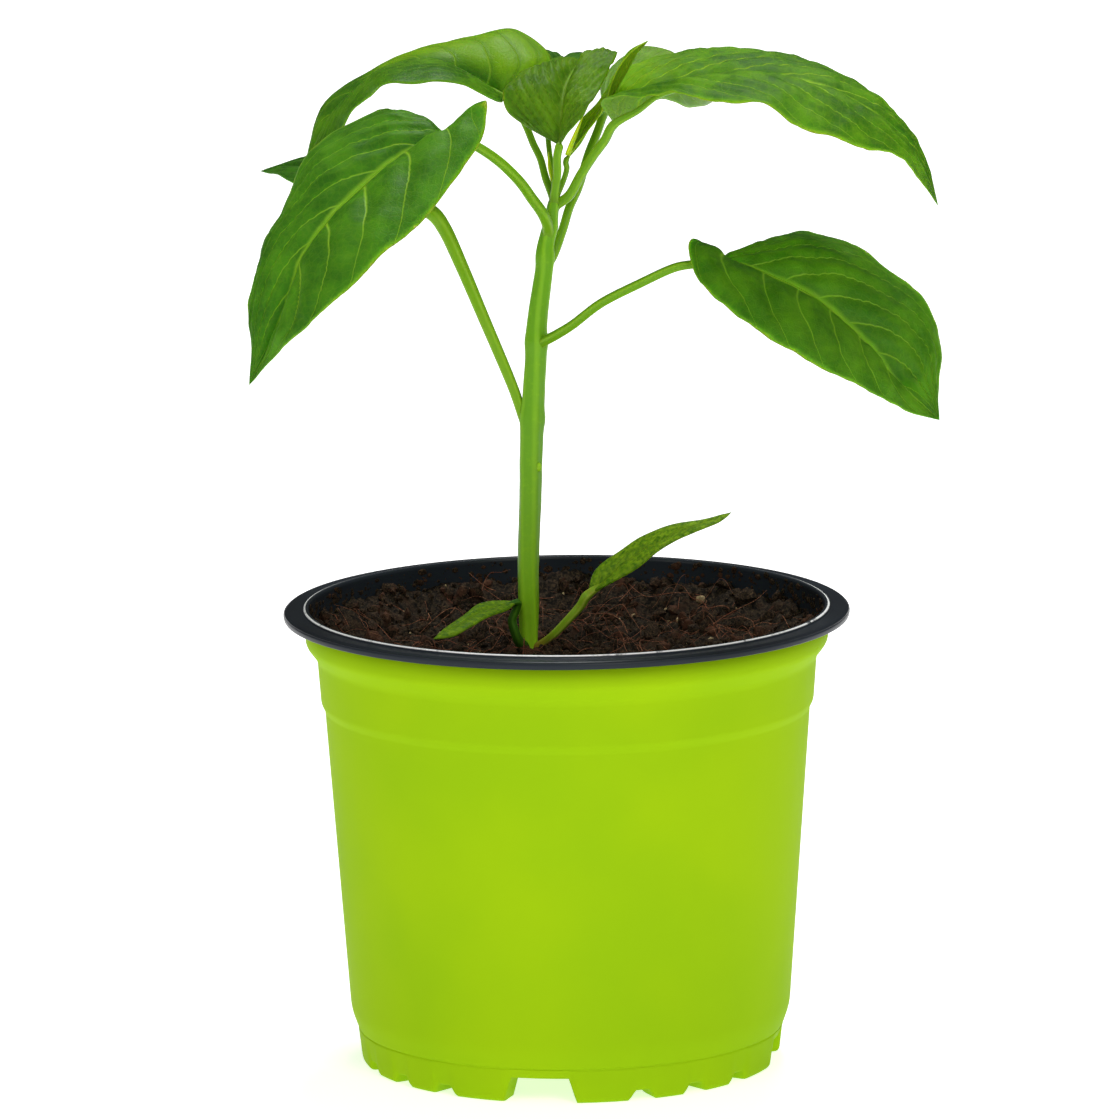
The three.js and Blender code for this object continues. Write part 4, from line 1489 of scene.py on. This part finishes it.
            (0.0655, -0.038, 0.1485), (0.071, -0.034, 0.1445), (0.078, -0.03, 0.142),
        ),
    ),
    LeafShape(
        name="seed_leaf_left",
        stalk_radius=(0.0011, 0.0007),
        stalk=(
            (-0.01, -0.003, 0.0905), (-0.011, -0.004, 0.093), (-0.0115, -0.004, 0.0955),
            (-0.0105, -0.004, 0.098),
        ),
        rib=(
            (-0.0105, -0.005, 0.0995), (-0.014, -0.007, 0.099), (-0.018, -0.011, 0.0985),
            (-0.0215, -0.016, 0.0975), (-0.025, -0.02, 0.0965), (-0.028, -0.024, 0.0955),
        ),
        left=(
            (-0.0105, -0.005, 0.0995), (-0.0125, -0.009, 0.0985), (-0.0165, -0.014, 0.098),
            (-0.02, -0.019, 0.097), (-0.024, -0.022, 0.0955), (-0.028, -0.024, 0.0955),
        ),
        right=(
            (-0.0105, -0.005, 0.0995), (-0.0145, -0.004, 0.0995), (-0.0185, -0.007, 0.0995),
            (-0.022, -0.013, 0.098), (-0.0255, -0.018, 0.0965), (-0.028, -0.024, 0.0955),
        ),
    ),
    LeafShape(
        name="seed_leaf_right",
        stalk_radius=(0.0008, 0.001),
        stalk=(
            (-0.0045, -0.002, 0.0905), (-0.0025, -0.004, 0.0925), (0.0005, -0.006, 0.096),
            (0.003, -0.007, 0.099),
        ),
        rib=(
            (0.0045, -0.008, 0.1015), (0.0085, -0.009, 0.105), (0.013, -0.01, 0.109),
            (0.0185, -0.011, 0.1125), (0.0245, -0.011, 0.1155), (0.03, -0.011, 0.1175),
            (0.035, -0.011, 0.1195),
        ),
        left=(
            (0.0045, -0.008, 0.1015), (0.006, -0.007, 0.1065), (0.011, -0.007, 0.1105),
            (0.0165, -0.007, 0.114), (0.023, -0.008, 0.1165), (0.0295, -0.009, 0.1175),
            (0.035, -0.011, 0.1195),
        ),
        right=(
            (0.0045, -0.008, 0.1015), (0.0095, -0.011, 0.1045), (0.015, -0.013, 0.108),
            (0.0205, -0.014, 0.1125), (0.0265, -0.014, 0.1155), (0.032, -0.013, 0.1175),
            (0.035, -0.011, 0.1195),
        ),
    ),
)


HANGING = Habit(quilt=0.0009, groove=0.0006, ripple=0.0001)
ARCHING = Habit(quilt=0.0009, groove=0.0006, ripple=0.0005)
FLAT = Habit(quilt=0.0004, ripple=0.0003)
SMOOTH = Habit(quilt=0.00025, groove=0.0006, ripple=0.0003)
DOMED = Habit(quilt=0.0003, ripple=0.0001)
PUCKERED = Habit(quilt=0.0013, groove=0.0005, ripple=0.0003, waves=4.0, midrib=0.3, rows=120, columns=72)
NARROW = Habit(quilt=0.00025, groove=0.0003, ripple=0.0001, thickness=0.0004, midrib=0.4, rows=90, columns=44)
FLESHY = Habit(quilt=0.0001, groove=0.0002, ripple=0.0001, thickness=0.0005, midrib=1.0, rows=80, columns=44)

DRESS: dict[str, tuple[BladeFinish, StalkFinish, str, Habit]] = {
    "leaf_front_left": (MATURE, STALK, "leaf", HANGING),
    "leaf_back_left": (LEVEL_BLADE, PALE_STALK, "leaf", FLAT),
    "leaf_upper_left": (BRIGHT, STALK, "leaf", SMOOTH),
    "leaf_centre": (YOUNG, STALK, "young_leaf", PUCKERED),
    "leaf_folded": (TENDER, STALK, "young_leaf", NARROW),
    "leaf_back": (LEVEL_BLADE, STALK, "young_leaf", FLAT),
    "leaf_upper_right": (ARCHED, STALK, "leaf", ARCHING),
    "leaf_back_right": (DROOPING, STALK, "leaf", DOMED),
    "leaf_lower_right": (SHADED, STALK, "leaf", HANGING),
    "seed_leaf_left": (SEED, PAINTED_SHADE_STALK, "seed_leaf", FLESHY),
    "seed_leaf_right": (SEED, DRIED_STALK, "seed_leaf", FLESHY),
}

BUDS = (
    Bud("bud_right", ((0.0012, -0.0026, 0.1945), (0.0021, -0.0033, 0.197), (0.0033, -0.0037, 0.2),
                      (0.0048, -0.0038, 0.2035)), 0.0005),
    Bud("bud_left", ((-0.0019, 0.0009, 0.1885), (-0.0026, 0.001, 0.1915), (-0.0028, 0.001, 0.1945)), 0.00045),
)


# ---------------------------------------------------------------- the studio


@dataclass(frozen=True)
class Lamp:
    """A square soft light that faces the plant."""

    name: str
    place: Point
    size: float
    power: float  # watts
    colour: Point = (1.0, 1.0, 1.0)


@dataclass
class Studio:
    """A white floor in a white room, soft lamps and the camera."""

    aim: Point = (0.0, 0.0, 0.11)
    camera_place: Point = (0.0, -2.1596, 0.5178)
    camera_tilt: float = 10.757  # degrees down
    camera_turn: float = 0.034  # degrees to the left
    camera_roll: float = 0.6  # degrees clockwise
    lens: float = 334.1  # millimetres, on a sensor 36 wide
    floor_reach: float = 6.0
    glow_reach: tuple[float, float] = (0.4, 1.6)  # where the floor's own light rises from near to far
    near_glow: Colour = (0.6, 0.6, 0.6, 1.0)
    far_glow: Colour = WHITE
    room_light: tuple[float, float] = (0.05, 0.42)  # from behind and below, and from the front and above
    room_bright_side: Point = (0.0, -0.6, 0.8)
    lamps: tuple[Lamp, ...] = (
        Lamp("key", (0.55, -1.45, 1.15), 0.8, 9.5, (1.0, 0.97, 0.9)),
        Lamp("fill", (-1.2, -1.1, 0.7), 0.7, 3.0),
        Lamp("over", (0.1, 0.45, 1.35), 0.4, 11.0),
    )

    def build_camera(self) -> None:
        """Set up the camera."""
        data = bpy.data.cameras.new("camera")
        data.lens = self.lens
        data.sensor_width = 36.0
        data.clip_end = 50.0
        camera = bpy.data.objects.new("camera", data)
        tilt = Euler((math.radians(90.0 - self.camera_tilt), 0.0, math.radians(self.camera_turn))).to_matrix()
        roll = Matrix.Rotation(-math.radians(self.camera_roll), 3, "Z")
        camera.matrix_world = Matrix.Translation(self.camera_place) @ (tilt @ roll).to_4x4()
        bpy.context.scene.collection.objects.link(camera)
        bpy.context.scene.camera = camera

    def build_lamps(self) -> None:
        """Hang the soft lamps."""
        for lamp in self.lamps:
            data = bpy.data.lights.new(lamp.name, "AREA")
            data.shape = "SQUARE"
            data.size = lamp.size
            data.energy = lamp.power
            data.color = lamp.colour
            hung = bpy.data.objects.new(lamp.name, data)
            hung.location = lamp.place
            hung.rotation_euler = (Vector(self.aim) - Vector(lamp.place)).to_track_quat("-Z", "Y").to_euler()
            bpy.context.scene.collection.objects.link(hung)

    def build_room(self) -> None:
        """Make the floor and the room, which looks white and lights the plant more gently than that."""
        mesh = bmesh.new()
        bmesh.ops.create_grid(mesh, x_segments=1, y_segments=1, size=self.floor_reach)
        data = bpy.data.meshes.new("floor")
        mesh.to_mesh(data)
        mesh.free()
        paint = Paint.material("floor_white")
        mottle = paint.rise(paint.noise(3.0, 2.0), 0.2, 0.8)
        colour = paint.mix(mottle, tint(246, 246, 246), tint(250, 250, 250))
        glow = paint.mix(paint.rise(paint.out(), *self.glow_reach), self.near_glow, self.far_glow)
        data.materials.append(paint.surface(Base_Color=colour, Roughness=0.9, Specular_IOR_Level=0.1,
                                            Emission_Color=glow, Emission_Strength=1.0))
        floor = bpy.data.objects.new("floor", data)
        bpy.context.scene.collection.objects.link(floor)
        world = bpy.data.worlds.new("room")
        room = Paint(world)
        facing = room.node("VectorMath", {"operation": "DOT_PRODUCT"}, {
            0: room.node("TexCoord", output="Generated"), 1: self.room_bright_side}, "Value")
        seen = room.node("LightPath", output="Is Camera Ray")
        light = room.rise(facing, -0.4, 0.9, *self.room_light)
        strength = seen * 1.1 + (1.0 - seen) * light
        room.end("OutputWorld", room.node("Background", {}, {"Color": WHITE, "Strength": strength}))
        bpy.context.scene.world = world

    def build(self) -> None:
        """Set up the room, the lamps and the camera."""
        self.build_room()
        self.build_lamps()
        self.build_camera()
        bpy.context.scene.view_settings.view_transform = "Standard"


def main() -> None:
    """Build the pot, the compost, the plant and the studio."""
    logging.basicConfig(level=logging.INFO, format="%(name)s: %(message)s")
    Studio().build()
    NurseryPot().build()
    Compost().build()
    Stem().build()
    for shape in LEAVES:
        blade, stalk, slot, habit = DRESS[shape.name]
        Leaf(shape, blade, stalk, slot, habit).build()
    for bud in BUDS:
        bud.build()


if __name__ == "__main__":
    main()
